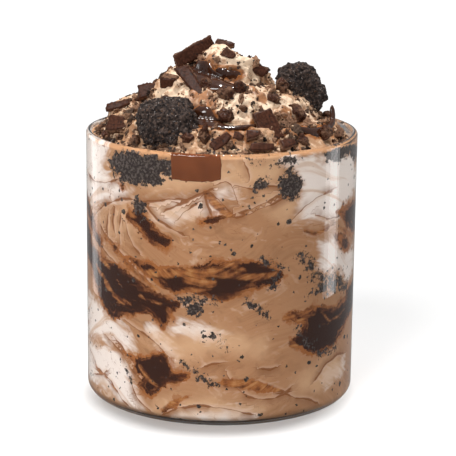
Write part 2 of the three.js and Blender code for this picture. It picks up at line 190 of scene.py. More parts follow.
def mound_point(radius, angle, fine=0.0):
    """Points on the mound, in millimetres: a cone wrapped by one spiral fold with a curled peak.

    fine adds the small lumps and whipped ridges that only the finished surface has."""
    x, y = radius * np.cos(angle), radius * np.sin(angle)
    slope = np.maximum(0, 1 - np.hypot(radius, PEAK_ROUNDING) / FILL_RADIUS)
    base = edge_level(angle) + PEAK_RISE * slope**1.2
    core = smooth(1.5, 7, radius)
    edge = smooth(0, EDGE_SOFTNESS, FILL_RADIUS - radius)
    fold = fold_height(radius, angle)
    lumps = 1.1 * noise(x / 6.5 + 3.1, y / 6.5 + 1.7, 0.4) + 0.45 * noise(x / 2.9, y / 2.9, 5.2)
    swell = edge * (FOLD_BULGE * (fold * core + 1 - core) + lumps)
    if fine:
        ridges = np.sin(8 * fold + 2.2 * noise(x / 5, y / 5, 2.2))
        small = 0.80 * noise(x / 2.1, y / 2.1, 8.1) + 0.55 * noise(x / 1.1, y / 1.1, 3.3)
        swell = swell + fine * smooth(0, 2.5, FILL_RADIUS - radius) * (0.14 * ridges * core + small)
    lean = math.radians(FOLD_LEAN) * smooth(0, 6, radius) * edge
    out = radius + swell * np.sin(lean)
    curl = 1 - smooth(*CURL_RADIUS, radius)
    return np.stack(
        [
            out * np.cos(angle) + CURL_SHIFT[0] * curl,
            out * np.sin(angle) + CURL_SHIFT[1] * curl,
            base + swell * np.cos(lean),
        ],
        axis=-1,
    )


def mound_samples(spacing=0.4, steps=240):
    """Points all over the mound, for finding how high it is over a place."""
    radii, angles = np.arange(0, FILL_RADIUS, spacing), np.arange(steps) / steps * TURN
    return mound_point(*np.meshgrid(radii, angles, indexing="ij")).reshape(-1, 3)


def mound_top(x, y, samples, reach=0.6):
    """The highest point of the mound over a place."""
    near = np.hypot(samples[:, 0] - x, samples[:, 1] - y) < reach
    level = float(edge_level(math.atan2(y, x)))
    return max(level, samples[near, 2].max()) if near.any() else level


# ---------------------------------------------------------------------------------------------
# Meshes
# ---------------------------------------------------------------------------------------------

def new_object(name, data):
    piece = bpy.data.objects.new(name, data)
    bpy.context.scene.collection.objects.link(piece)
    return piece


def mesh_object(name, points, faces):
    """A smoothly shaded mesh object from points in millimetres."""
    mesh = bpy.data.meshes.new(name)
    mesh.from_pydata((np.asarray(points) * MM).tolist(), [], faces)
    mesh.polygons.foreach_set("use_smooth", [True] * len(mesh.polygons))
    mesh.update()
    return new_object(name, mesh)


def band_faces(rings, sides, first=0):
    """The quads between rings of points, which start at the point with the number first."""
    faces = []
    for ring in range(rings - 1):
        low = first + ring * sides
        for side in range(sides):
            after = (side + 1) % sides
            faces.append((low + side, low + after, low + sides + after, low + sides + side))
    return faces


def loft_faces(rings, sides):
    """Faces of a surface through rings of points whose first and last point are its two poles."""
    last = 1 + rings * sides
    ends = []
    for side in range(sides):
        after = (side + 1) % sides
        ends += [(0, 1 + after, 1 + side), (last, last - sides + side, last - sides + after)]
    return ends + band_faces(rings, sides, 1)


def set_attribute(piece, name, values):
    layer = piece.data.attributes.new(name, "FLOAT", "POINT")
    layer.data.foreach_set("value", np.asarray(values, np.float32).ravel())


def mesh_points(mesh):
    """The mesh's points, in millimetres."""
    flat = np.zeros(3 * len(mesh.vertices))
    mesh.vertices.foreach_get("co", flat)
    return flat.reshape(-1, 3) / MM


def mesh_normals(mesh):
    flat = np.zeros(3 * len(mesh.vertices))
    mesh.vertex_normals.foreach_get("vector", flat)
    return flat.reshape(-1, 3)


def move_points(mesh, points):
    mesh.vertices.foreach_set("co", (points * MM).ravel())
    mesh.update()


def outward(piece):
    """Turns every face of a closed mesh outwards."""
    edit = bmesh.new()
    edit.from_mesh(piece.data)
    bmesh.ops.recalc_face_normals(edit, faces=edit.faces)
    edit.to_mesh(piece.data)
    edit.free()
    return piece


# How much larger a piece is made while it is divided, because the remesher is too coarse for small ones.
REMESH_SCALE = 100.0


def fine_copy(node_name, name, voxel):
    """A copy of a CAD node, divided evenly into faces of about voxel millimetres."""
    edit = bmesh.new()
    edit.from_mesh(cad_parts[node_name].data)
    bmesh.ops.remove_doubles(edit, verts=edit.verts, dist=0.01 * MM)
    bmesh.ops.scale(edit, vec=(REMESH_SCALE,) * 3, verts=edit.verts)
    mesh = bpy.data.meshes.new(name)
    edit.to_mesh(mesh)
    edit.free()
    piece = new_object(name, mesh)
    remesh = piece.modifiers.new("even faces", "REMESH")
    remesh.mode = "VOXEL"
    remesh.voxel_size = voxel * MM * REMESH_SCALE
    remesh.use_smooth_shade = True
    evaluated = piece.evaluated_get(bpy.context.evaluated_depsgraph_get())
    piece.data = bpy.data.meshes.new_from_object(evaluated)
    piece.modifiers.clear()
    piece.data.name = name
    piece.data.transform(Matrix.Scale(1 / REMESH_SCALE, 4))
    return piece


def finish_piece(piece, material, replaced):
    """Gives a piece its material or materials and its body, and hides the CAD node that it stands for."""
    piece.data.materials.clear()
    for each in material if isinstance(material, list) else [material]:
        piece.data.materials.append(each)
    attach(piece, BODY)
    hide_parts(replaced)
    return piece


# ---------------------------------------------------------------------------------------------
# Node helpers
# ---------------------------------------------------------------------------------------------

class Value:
    """The output of a node, which can be added and multiplied like a number."""

    def __init__(self, nodes, socket):
        self.nodes, self.socket = nodes, socket

    def __add__(self, other):
        return self.nodes.math("ADD", self, other)

    def __sub__(self, other):
        return self.nodes.math("SUBTRACT", self, other)

    def __mul__(self, other):
        return self.nodes.math("MULTIPLY", self, other)

    def __rsub__(self, other):
        return self.nodes.math("SUBTRACT", other, self)

    def __rtruediv__(self, other):
        return self.nodes.math("DIVIDE", other, self)

    def __abs__(self):
        return self.nodes.math("ABSOLUTE", self)

    __radd__, __rmul__ = __add__, __mul__


class Nodes:
    """A node tree, and short ways to add to it."""

    def __init__(self, tree):
        self.tree = tree

    def add(self, kind, inputs=None, **settings):
        """A node with its settings and inputs: a value or socket is linked, and anything else is set."""
        made = self.tree.nodes.new(kind)
        for key, value in settings.items():
            setattr(made, key, value)
        for key, value in (inputs or {}).items():
            value = getattr(value, "socket", value)
            if isinstance(value, bpy.types.NodeSocket):
                self.tree.links.new(value, made.inputs[key])
            else:
                made.inputs[key].default_value = value
        return made

    def out(self, kind, inputs=None, output=0, **settings):
        """An output of a new node."""
        return Value(self, self.add(kind, inputs, **settings).outputs[output])

    def math(self, operation, *values):
        return self.out("ShaderNodeMath", dict(enumerate(values)), operation=operation)

    def most(self, first, second):
        return self.math("MAXIMUM", first, second)

    def vector(self, operation, first, second):
        return self.out("ShaderNodeVectorMath", {0: first, 1: second}, operation=operation)

    def scaled(self, vector, factor):
        return self.out("ShaderNodeVectorMath", {0: vector, "Scale": factor}, operation="SCALE")

    def span(self, value, low, high, start=0.0, end=1.0):
        """start where value is below low, end where it is above high, smooth in between."""
        inputs = {"Value": value, "From Min": low, "From Max": high, "To Min": start, "To Max": end}
        return self.out("ShaderNodeMapRange", inputs, "Result", interpolation_type="SMOOTHSTEP")

    def mix(self, factor, first, second):
        return self.out("ShaderNodeMix", {0: factor, 6: rgba(first), 7: rgba(second)}, 2, data_type="RGBA")

    def noise(self, where, size, detail=2.0, output=0, **inputs):
        """Noise from 0 to 1 with lumps of the given size, in the units of where."""
        values = {"Vector": where, "Scale": 1 / size, "Detail": detail, **inputs}
        return self.out("ShaderNodeTexNoise", values, output)

    def millimetres(self):
        """Object coordinates in millimetres."""
        return self.scaled(self.out("ShaderNodeTexCoord", output="Object"), 1 / MM)

    def along(self, value):
        """A place on a line, so that noise there changes with one value alone."""
        return self.out("ShaderNodeCombineXYZ", {0: value})

    def attribute(self, name):
        return self.out("ShaderNodeAttribute", output="Fac", attribute_name=name)

    def steps(self, factor, stops):
        """A colour for each place along 0 to 1."""
        made = self.add("ShaderNodeValToRGB", {0: factor})
        points = made.color_ramp.elements
        while len(points) < len(stops):
            points.new(0.5)
        for point, (place, colour) in zip(points, stops):
            point.position = place
            point.color = rgba(colour)
        return Value(self, made.outputs["Color"])

    def group(self, label, build, **inputs):
        """The outputs of a shader node group, which is built when it is first needed."""
        tree = bpy.data.node_groups.get(label) or build(label)
        made = self.add("ShaderNodeGroup", inputs, node_tree=tree)
        return [Value(self, socket) for socket in made.outputs]

    def flecks(self, place, cell, density, size):
        return self.group("Crumb flecks", build_flecks, Place=place, Cell=cell, Density=density, Size=size)

    def grain(self, place, size, fine):
        return self.group("Grain", build_grain, Place=place, Size=size, Fine=fine)

    def bump(self, height, distance):
        """A bump whose full height is distance millimetres."""
        return self.out("ShaderNodeBump", {"Height": height, "Distance": distance * MM, "Strength": 1.0})

    def surface(self, inputs):
        """Ends a material with its Principled shader."""
        shader = self.add("ShaderNodeBsdfPrincipled", inputs)
        self.add("ShaderNodeOutputMaterial", {"Surface": shader.outputs[0]})


def rgba(colour):
    return colour if isinstance(colour, Value) else (*colour[:3], 1.0)


def times(colour, factor):
    return tuple(factor * part for part in colour)


def new_material(name):
    material = bpy.data.materials.new(name)
    material.use_nodes = True
    material.node_tree.nodes.clear()
    return material, Nodes(material.node_tree)


def new_group(name, inputs, outputs):
    """An empty shader node group with its nodes, its inputs as values, and its exit."""
    tree = bpy.data.node_groups.new(name, "ShaderNodeTree")
    for direction, sockets in (("INPUT", inputs), ("OUTPUT", outputs)):
        for label, kind in sockets.items():
            tree.interface.new_socket(label, in_out=direction, socket_type=f"NodeSocket{kind}")
    nodes, entry = Nodes(tree), tree.nodes.new("NodeGroupInput")
    return nodes, [Value(nodes, entry.outputs[label]) for label in inputs]


def build_flecks(name):
    """Ragged crumbs of one cell size: a mask, and a tone of its own for each crumb."""
    sockets = {"Place": "Vector", "Cell": "Float", "Density": "Float", "Size": "Float"}
    n, (place, cell, density, size) = new_group(name, sockets, {"Mask": "Float", "Tone": "Float"})
    rough = n.noise(place, 1 / 1.7, 2.0, "Color")
    ragged = n.vector("ADD", place, n.vector("MULTIPLY", rough, (0.9, 0.9, 0.9)))
    cells = n.add("ShaderNodeTexVoronoi", {"Vector": ragged, "Scale": 1.0 / cell}).outputs
    chance, extent, tone = n.add("ShaderNodeSeparateColor", {0: cells["Color"]}).outputs
    inside = size * (0.45 + Value(n, extent)) - Value(n, cells["Distance"])
    mask = n.span(inside, -0.03, 0.05) * n.math("LESS_THAN", chance, density)
    n.add("NodeGroupOutput", {"Mask": mask, "Tone": tone})
    return n.tree


def build_grain(name):
    """Coarse and fine grain for bumps and tones, with lumps of a given size in millimetres."""
    sockets = {"Place": "Vector", "Size": "Float", "Fine": "Float"}
    n, (place, size, fine) = new_group(name, sockets, {"Height": "Float", "Tone": "Float"})
    scale = 1.0 / size
    coarse = n.out("ShaderNodeTexNoise", {"Vector": place, "Scale": scale, "Detail": 4.0, "Roughness": 0.6})
    small = n.out("ShaderNodeTexNoise", {"Vector": place, "Scale": 4.0 * scale, "Detail": 2.0})
    n.add("NodeGroupOutput", {"Height": coarse + small * fine, "Tone": coarse})
    return n.tree


# ---------------------------------------------------------------------------------------------
# Materials
# ---------------------------------------------------------------------------------------------

def glass_material(settings):
    material, n = new_material("clear_glass")
    tint = rgba(settings.glass_tint)
    look = {"Base Color": tint, "Roughness": 0.0, "IOR": 1.5, "Transmission Weight": 1.0}
    glass = n.out("ShaderNodeBsdfPrincipled", look)
    clear = n.out("ShaderNodeBsdfTransparent", {0: tint})
    shadow = n.out("ShaderNodeLightPath", output="Is Shadow Ray")
    choice = n.out("ShaderNodeMixShader", {0: shadow, 1: glass, 2: clear})
    n.add("ShaderNodeOutputMaterial", {"Surface": choice})
    return material


# Single crumbs in the ice cream's colour, above the glass and behind it: [cell in millimetres,
# share of cells with a crumb, size of the crumb in its cell].
CRUMB_SIZES = {
    False: [(1.6, 0.04, 0.50), (0.9, 0.07, 0.48)],
    True: [(2.4, 0.005, 0.50), (1.5, 0.010, 0.48), (0.9, 0.020, 0.46)],
}
AMBER_COVER = {False: 0.85, True: 0.9}


def plain_ice_cream(n, settings, wall, place, narrow, broad):
    """Ice cream without fudge or cookie: brushed, with swirls of lighter and darker ice cream through it."""
    dark, light, shade, cream = (
        (settings.mocha_dark, settings.mocha_light, settings.cream_streak_and_highlight, settings.cream)
        if wall
        else (settings.top_dark, settings.top_light, settings.top_shade, settings.top_cream)
    )
    patchy = n.span(n.noise(place, 15.0, 1.0), 0.40, 0.62, 0.08, 0.6)
    streak = (0.6 * broad + 0.4 * narrow - 0.5) * patchy + 0.5
    colour = n.mix(n.span(streak, 0.38, 0.62), dark, light)

    # Swirls: noise whose places are pushed about by broader noise.
    flat = n.vector("MULTIPLY", place, (1.0, 1.0, 1.7))
    push = n.scaled(n.vector("SUBTRACT", n.noise(flat, 16, 2.0, "Color"), (0.5, 0.5, 0.5)), 52.0)
    swirl = n.noise(n.vector("ADD", flat, push), 10.0, 3.0, Roughness=0.5)
    folded = n.attribute("folded")
    colour = n.mix(0.85 * n.span(swirl, 0.42, 0.30) * folded, colour, shade)
    colour = n.mix(0.6 * n.span(swirl, 0.55, 0.68) * folded, colour, times(dark, 0.7))

    cream_depth = n.attribute("cream") + 3.0 * narrow + 9.0 * swirl - 5.5
    tone = n.mix(n.span(broad, 0.28, 0.46), shade, cream)
    colour = n.mix(n.span(cream_depth, -2.2, 2.0), colour, tone)

    worn = n.span(n.noise(place, 6.0, 1.0), 0.50, 0.62)
    line = n.span(abs(swirl - 0.505), 0.012, 0.002) * worn * folded
    return n.mix(0.7 * line, colour, settings.fudge_thin)


def fold_shading(n, settings, place, colour):
    """Broad paler places, and thin brown lines where folds of ice cream meet, with painted shade on one side
    of each line and a narrow painted highlight on the other.
    """
    pale = n.span(n.attribute("tan") + 9.0 * n.noise(place, 6.0, 3.0) - 4.5, -4.0, 4.0)
    colour = n.mix(0.7 * pale, colour, settings.tan)
    side = n.attribute("fold_side") + n.noise(place, 3.0, 2.0) - 0.5
    near = n.attribute("fold_near")
    worn = n.noise(place, 5.0, 1.0)
    # Painted shade: the left side of each fold line is darkened over about 3 mm.
    shade = n.span(side, 3.2, 0.0) * n.span(side, -0.25, 0.0) * n.span(near, 4.0, 2.0)
    colour = n.mix(shade * n.span(worn, 0.35, 0.60, 0.15, 0.75), colour, settings.fold_shade)
    # Painted highlight: a narrow lighter band, in the cream streak colour, on the right side of each fold
    # line.
    glint = n.span(side, -1.6, -0.2) * n.span(side, 0.05, -0.15) * n.span(near, 2.5, 1.2)
    colour = n.mix(0.5 * glint, colour, settings.cream_streak_and_highlight)
    thin = n.span(worn, 0.40, 0.62, 0.10, 0.42) - abs(side)
    line = n.span(thin, -0.10, 0.10) * n.span(near, 1.4, 0.9)
    return n.mix(0.85 * line, colour, settings.fudge_thin)


def smears(n, settings, place, colour):
    """Brown smears and paler grains on the rough ice cream above the glass."""
    rough = n.noise(place, 1.7, 5.0, Roughness=0.72)
    colour = n.mix(0.55 * n.span(rough, 0.45, 0.38), colour, settings.top_cream)
    where = n.span(n.noise(place, 6.5, 2.0), 0.36, 0.56)
    return n.mix(0.75 * n.span(rough, 0.50, 0.60) * where, colour, settings.top_smear)


def fudge_streaks(n, settings, place, depth, colour):
    """Fudge along its outline, orange-brown where it thins out and almost black where it is thick."""
    across = n.vector("ADD", n.along(0.9 * depth), n.scaled(place, 0.16))
    layers = n.noise(across, 1.0, 3.0, Roughness=0.6)
    thickness = n.span(depth + 9.0 * layers - 4.5, -0.4, 3.0)
    amber, thin, edge, deep = settings.amber, settings.fudge_thin, settings.fudge_edge, settings.fudge_deep
    tone = n.steps(thickness, [(0.0, amber), (0.22, thin), (0.5, edge), (0.85, deep)])
    stirred = n.span(layers, 0.36, 0.29) * n.span(n.noise(place, 7.0, 1.0), 0.44, 0.54)
    tone = n.mix(0.8 * stirred, tone, amber)
    stain = depth + n.span(n.noise(place, 6.0, 3.0), 0.45, 0.65, 0.0, 1.5)
    colour = n.mix(n.span(stain, -0.5, 0.6, 0.0, 0.65), colour, amber)
    return n.mix(n.span(depth, -0.12, 0.15), colour, tone)


def amber_streaks(n, settings, wall, place, narrow, amber, colour):
    """Fudge stirred thinly into the ice cream, brushed from dark to light."""
    mottled = 0.5 * n.noise(place, 2.6, 3.0) + 0.5 * narrow + 0.04 * amber
    places = (0.40, 0.47, 0.54, 0.66) if wall else (0.36, 0.44, 0.56)
    shades = (settings.fudge_edge, settings.fudge_thin, settings.amber, settings.amber_light)
    cover = n.span(amber, -0.4, 0.5, 0.0, AMBER_COVER[wall])
    return n.mix(cover, colour, n.steps(mottled, list(zip(places, shades))))


def blended_crumbs(n, wall, place, ragged):
    """Where cookie shows: single crumbs everywhere, and clusters of ragged ones where the cookie is."""
    crumb = 0.0
    for cell, density, size in CRUMB_SIZES[wall]:
        crumb = n.most(crumb, n.flecks(place, cell, density, size)[0])
    nearby = n.span(n.attribute("cookie") + 0.8 * ragged, -3.2, 2.0)
    specks = n.most(n.noise(place, 1.3, 4.0, Roughness=0.75), n.noise(place, 2.8, 5.0, Roughness=0.7))
    crumb = n.most(crumb, n.span(specks + 0.26 * nearby - 0.74, 0.0, 0.03))
    lacy = 9.0 * n.noise(place, 1.8, 5.0, Roughness=0.72) - 3.5
    return n.most(crumb, n.span(0.6 * ragged + n.attribute("chunk") + lacy, -0.15, 0.15))


def ice_cream_material(name, settings, wall):
    """Marbled ice cream, from the distance attributes of its mesh; wall is the part behind the glass."""
    material, n = new_material(name)
    place = n.millimetres()
    combed = n.vector("ADD", n.along(n.attribute("flow")), n.scaled(place, 0.10))
    broad, narrow = n.noise(combed, 3.2, 2.0), n.noise(combed, 0.9, 3.0)
    fine = n.noise(place, 0.8, 2.0)
    ragged = 3.0 * n.noise(place, 2.6, 3.0) + 1.4 * fine - 2.2
    brushed = 3.2 * narrow - 1.6
    wobble = 5.6 * n.noise(place, 3.6, 5.0, Roughness=0.7) - 2.8
    depth = n.attribute("fudge") + 0.3 * brushed + wobble
    amber = n.attribute("amber") + 0.3 * (wobble + brushed)

    colour = plain_ice_cream(n, settings, wall, place, narrow, broad)
    # Behind the glass: painted shade and painted highlights along the fold lines. Above it: brown smears and
    # paler grains.
    colour = (fold_shading if wall else smears)(n, settings, place, colour)
    colour = fudge_streaks(n, settings, place, depth, colour)
    colour = amber_streaks(n, settings, wall, place, narrow, amber, colour)
    crumb = blended_crumbs(n, wall, place, ragged)
    tone = n.span(n.noise(place, 0.75, 4.0), 0.44, 0.66)
    colour = n.mix(crumb, colour, n.mix(tone, settings.crumb_dark, settings.crumb_light))
    look = {"Base Color": colour, "IOR": 1.45}
    if wall:
        look.update({"Roughness": 0.7, "Specular IOR Level": 0.0})
    else:
        wet = n.math("MINIMUM", n.span(depth, -0.2, 0.6, 0.5, 0.16), n.span(amber, -0.5, 0.8, 0.5, 0.32))
        look.update({"Roughness": n.most(wet, 0.8 * crumb), "Specular IOR Level": 0.25})
        look["Normal"] = n.bump(0.5 * fine + crumb, 0.35)
    n.surface(look)
    return material


def fudge_material(settings):
    """Wet, glossy fudge, browner where it thins out at its rim."""
    material, n = new_material("glossy_fudge")
    height, tone = n.grain(n.millimetres(), 4.0, 0.05)
    colour = n.mix(n.span(tone, 0.35, 0.7), settings.fudge_deep, times(settings.fudge_edge, 0.55))
    colour = n.mix(n.span(n.attribute("rim") + 1.6 * tone - 0.8, 0.5, 1.0), colour, settings.fudge_thin)
    look = {"Base Color": colour, "Roughness": n.span(tone, 0.3, 0.7, 0.10, 0.22), "IOR": 1.5}
    look.update({"Coat Weight": 0.4, "Coat Roughness": 0.06, "Normal": n.bump(height, 0.12)})
    n.surface(look)
    return material


def cookie_material(settings):
    """Near-black baked cookie, with brown grains and shinier flecks painted pale as sparkle highlights."""
    material, n = new_material("dark_cookie")
    place = n.millimetres()
    height, tone = n.grain(place, 0.9, 0.6)
    colour = n.mix(n.span(tone, 0.40, 0.70), settings.cookie_dark, settings.cookie_light)
    colour = n.mix(0.7 * n.flecks(place, 0.7, 0.12, 0.5)[0], colour, settings.cookie_brown)
    # Painted highlight: pale flecks for the sparkle, which are also made shinier.
    painted_sparkle = n.flecks(place, 0.45, 0.09, 0.36)[0]
    look = {"Base Color": n.mix(painted_sparkle, colour, settings.painted_sparkle), "Roughness": 0.8 - 0.5 * painted_sparkle}
    look.update({"IOR": 1.45, "Specular IOR Level": 0.3, "Normal": n.bump(height, 0.35)})
    n.surface(look)
    return material


def chocolate_material(settings):
    """Dark chocolate with smooth faces and paler, dusty, layered edges where it snapped."""
    material, n = new_material("dark_chocolate")
    place = n.millimetres()
    height, tone = n.grain(place, 0.7, 0.5)
    bands = n.noise(n.along(2.2 * n.attribute("layer")), 1.0, 2.0)
    dusty = n.span(n.attribute("snapped") + 1.6 * tone - 0.8, 0.30, 0.90)
    face, snapped = settings.chocolate, settings.snapped
    shade = n.mix(n.span(tone, 0.35, 0.65), times(face, 0.6), times(face, 1.25))
    banded = n.mix(n.span(bands, 0.40, 0.60), times(snapped, 0.45), snapped)
    dust = n.flecks(place, 0.8, 0.16, 0.42)[0]
    colour = n.mix(0.8 * dust, n.mix(dusty, shade, banded), settings.crumb_dark)
    look = {"Base Color": colour, "Roughness": 0.32 * dusty + 0.34, "IOR": 1.46, "Specular IOR Level": 0.12}
    look["Normal"] = n.bump(height * (0.95 * dusty + 0.05), 0.25)
    n.surface(look)
    return material


def slab_material(settings):
    """Smooth milk chocolate pressed to the glass."""
    material, n = new_material("milk_chocolate_slab")
    cloudy = n.span(n.noise(n.millimetres(), 7.0, 1.0), 0.35, 0.65)
    colour = n.mix(cloudy, times(settings.milk_chocolate, 0.85), times(settings.milk_chocolate, 1.1))
    n.surface({"Base Color": colour, "Roughness": 0.6, "Specular IOR Level": 0.0})
    return material


def crumb_material(name, stops):
    """Crumbs whose tone differs from one to the next, and a little over each."""
    material, n = new_material(name)
    height, grainy = n.grain(n.millimetres(), 0.6, 0.5)
    colour = n.steps(n.attribute("tone") + 0.7 * grainy - 0.35, stops)
    look = {"Base Color": colour, "Roughness": 0.8, "IOR": 1.45, "Specular IOR Level": 0.25}
    n.surface({**look, "Normal": n.bump(height, 0.2)})
    return material


# ---------------------------------------------------------------------------------------------
# Settings
# ---------------------------------------------------------------------------------------------

def colour_property(name, description, default):
    return FloatVectorProperty(
        name=name, description=description, default=default, subtype="COLOR", size=3, min=0, max=1
    )


def length_property(name, description, default):
    return FloatProperty(name=name, description=description, default=default * MM, subtype="DISTANCE", min=0)


class TumblerSettings(bpy.types.PropertyGroup):
    corner_radius: length_property("Foot radius", "Rounding of the outer corner at the foot", 3.0)
    push_up: length_property("Push-up", "How far the underside is hollowed", 0.4)
    push_up_radius: length_property("Push-up radius", "Where the hollow meets the ring it stands on", 30.0)
    sides: IntProperty(name="Sides", description="Faces round the glass", default=192, min=24)
    glass_tint: colour_property("Glass tint", "Colour of the clear glass", (0.985, 0.99, 0.99))


class IceCreamSettings(bpy.types.PropertyGroup):
    sides: IntProperty(name="Sides", description="Faces round the ice cream", default=400, min=60)
    mound_rings: IntProperty(name="Mound rings", description="Rings over the mound", default=104, min=20)
    wall_rings: IntProperty(name="Wall rings", description="Rings down the wall", default=112, min=20)
    mocha_dark: colour_property("Dark mocha", "Darker streaks of the ice cream", (0.395, 0.195, 0.090))
    mocha_light: colour_property("Light mocha", "Lighter streaks of the ice cream", (0.52, 0.285, 0.150))
    tan: colour_property("Tan", "Broad paler places behind the glass", (0.72, 0.46, 0.275))
    fold_shade: colour_property("Fold shade", "The shaded side of a fold", (0.30, 0.135, 0.060))
    cream: colour_property("Cream", "Cream that was left unmixed", (0.87, 0.78, 0.72))
    # Streaks in the cream, and also the colour of the painted highlight beside the fold lines.
    cream_streak_and_highlight: colour_property("Cream shade", "Streaks in the cream", (0.66, 0.47, 0.345))
    top_dark: colour_property("Dark top", "Darker ice cream above the glass", (0.36, 0.175, 0.085))
    top_light: colour_property("Light top", "Lighter ice cream above the glass", (0.64, 0.40, 0.24))
    top_cream: colour_property("Top cream", "Cream above the glass", (0.84, 0.64, 0.46))
    top_shade: colour_property("Top cream shade", "Streaks in the cream above the glass", (0.66, 0.41, 0.25))
    top_smear: colour_property("Top smear", "Brown smears above the glass", (0.33, 0.145, 0.062))
    fudge_thin: colour_property("Thin fudge", "Fudge at its very edge", (0.24, 0.086, 0.028))
    fudge_edge: colour_property("Fudge edge", "Fudge near its edge", (0.105, 0.032, 0.011))
    fudge_deep: colour_property("Deep fudge", "Fudge where it is thick", (0.036, 0.011, 0.005))
    amber: colour_property("Amber", "Fudge stirred thinly into the ice cream", (0.36, 0.130, 0.038))
    amber_light: colour_property("Light amber", "Its thinnest places", (0.52, 0.245, 0.085))
    crumb_dark: colour_property("Dark crumb", "Darkest cookie crumbs", (0.034, 0.025, 0.022))
    crumb_light: colour_property("Light crumb", "Lightest cookie crumbs", (0.115, 0.090, 0.080))


class ToppingSettings(bpy.types.PropertyGroup):
    chocolate: colour_property("Chocolate", "Smooth faces of the chocolate", (0.064, 0.024, 0.014))
    snapped: colour_property("Snapped chocolate", "Snapped edges of the chocolate", (0.25, 0.130, 0.078))
    milk_chocolate: colour_property("Milk chocolate", "The slab behind the glass", (0.175, 0.052, 0.018))
    cookie_dark: colour_property("Cookie", "Dark cookie", (0.016, 0.011, 0.010))
    cookie_light: colour_property("Worn cookie", "Lighter cookie", (0.105, 0.070, 0.056))
    cookie_brown: colour_property("Cookie grain", "Brown grains in the cookie", (0.14, 0.075, 0.045))
    # Pale flecks painted as sparkle highlights on the cookie.
    painted_sparkle: colour_property("Sugar", "Points of sugar on the cookie", (0.30, 0.26, 0.24))
    crumb_dark: colour_property("Crumb dust", "Dark dust on the chocolate", (0.020, 0.012, 0.010))
    voxel: length_property("Finest face", "Size of the faces on chocolate and cookie", 0.24)


class CrumbSettings(bpy.types.PropertyGroup):
    coarse_size: length_property("Coarse crumb", "Largest crumb", 3.4)
    medium_size: length_property("Medium crumb", "Largest of the middle crumbs", 2.0)
    dust_size: length_property("Dust", "Largest of the dust", 0.95)
    seed: IntProperty(name="Seed", description="Draw of the crumbs' places", default=7)


class StageSettings(bpy.types.PropertyGroup):
    floor_colour: colour_property("Floor", "Plain pale floor", (0.68, 0.68, 0.68))
    reflected: FloatProperty(name="Reflected", description="Brightness in glossy rays", default=0.3, min=0)
    world_strength: FloatProperty(name="Ambient", description="Even light all round", default=0.29, min=0)
    top_light: FloatProperty(name="Top light", description="Soft light from above", default=1.0, min=0)
    key_light: FloatProperty(name="Key", description="Soft light from the upper left", default=0.55, min=0)
    strip_light: FloatProperty(name="Strips", description="Upright soft boxes", default=1.0, min=0)


# ---------------------------------------------------------------------------------------------
# Tumbler
# ---------------------------------------------------------------------------------------------

def arc(centre, level, radius, start, end, steps):
    """Points on an arc of a profile, as (radius, height)."""
    angles = np.radians(np.linspace(start, end, steps + 1))
    return [(centre + radius * math.cos(a), level + radius * math.sin(a)) for a in angles]


class DESSERT_OT_tumbler(bpy.types.Operator):
    """Turns the straight tumbler with its rounded foot, hollowed base and fire-polished rim"""

    bl_idname = "dessert.tumbler"
    bl_label = "Tumbler"

    def execute(self, context):
        settings = context.scene.dessert_tumbler
        corner, push = settings.corner_radius / MM, settings.push_up / MM
        hollow = settings.push_up_radius / MM
        rim, inner = WALL / 2, corner - WALL + 0.5
        profile = [(hollow - 4, push), (hollow - 2.7, push * 0.86), (hollow - 1.3, push * 0.3), (hollow, 0)]
        profile += arc(GLASS_RADIUS - corner, corner, corner, -90, 0, 12)
        profile += arc(GLASS_RADIUS - rim, GLASS_HEIGHT - rim, rim, 0, 180, 16)
        profile += arc(INNER_RADIUS - inner, BASE + inner, inner, 0, -90, 8)
        sides = settings.sides
        angles = np.arange(sides) / sides * TURN
        points = [(0, 0, push)]
        for radius, level in profile:
            points += [(radius * math.cos(a), radius * math.sin(a), level) for a in angles]
        points.append((0, 0, BASE))
        piece = mesh_object("tumbler", points, loft_faces(len(profile), sides))
        finish_piece(piece, glass_material(settings), "glass")
        return {"FINISHED"}


# ---------------------------------------------------------------------------------------------
# Ice cream
# ---------------------------------------------------------------------------------------------

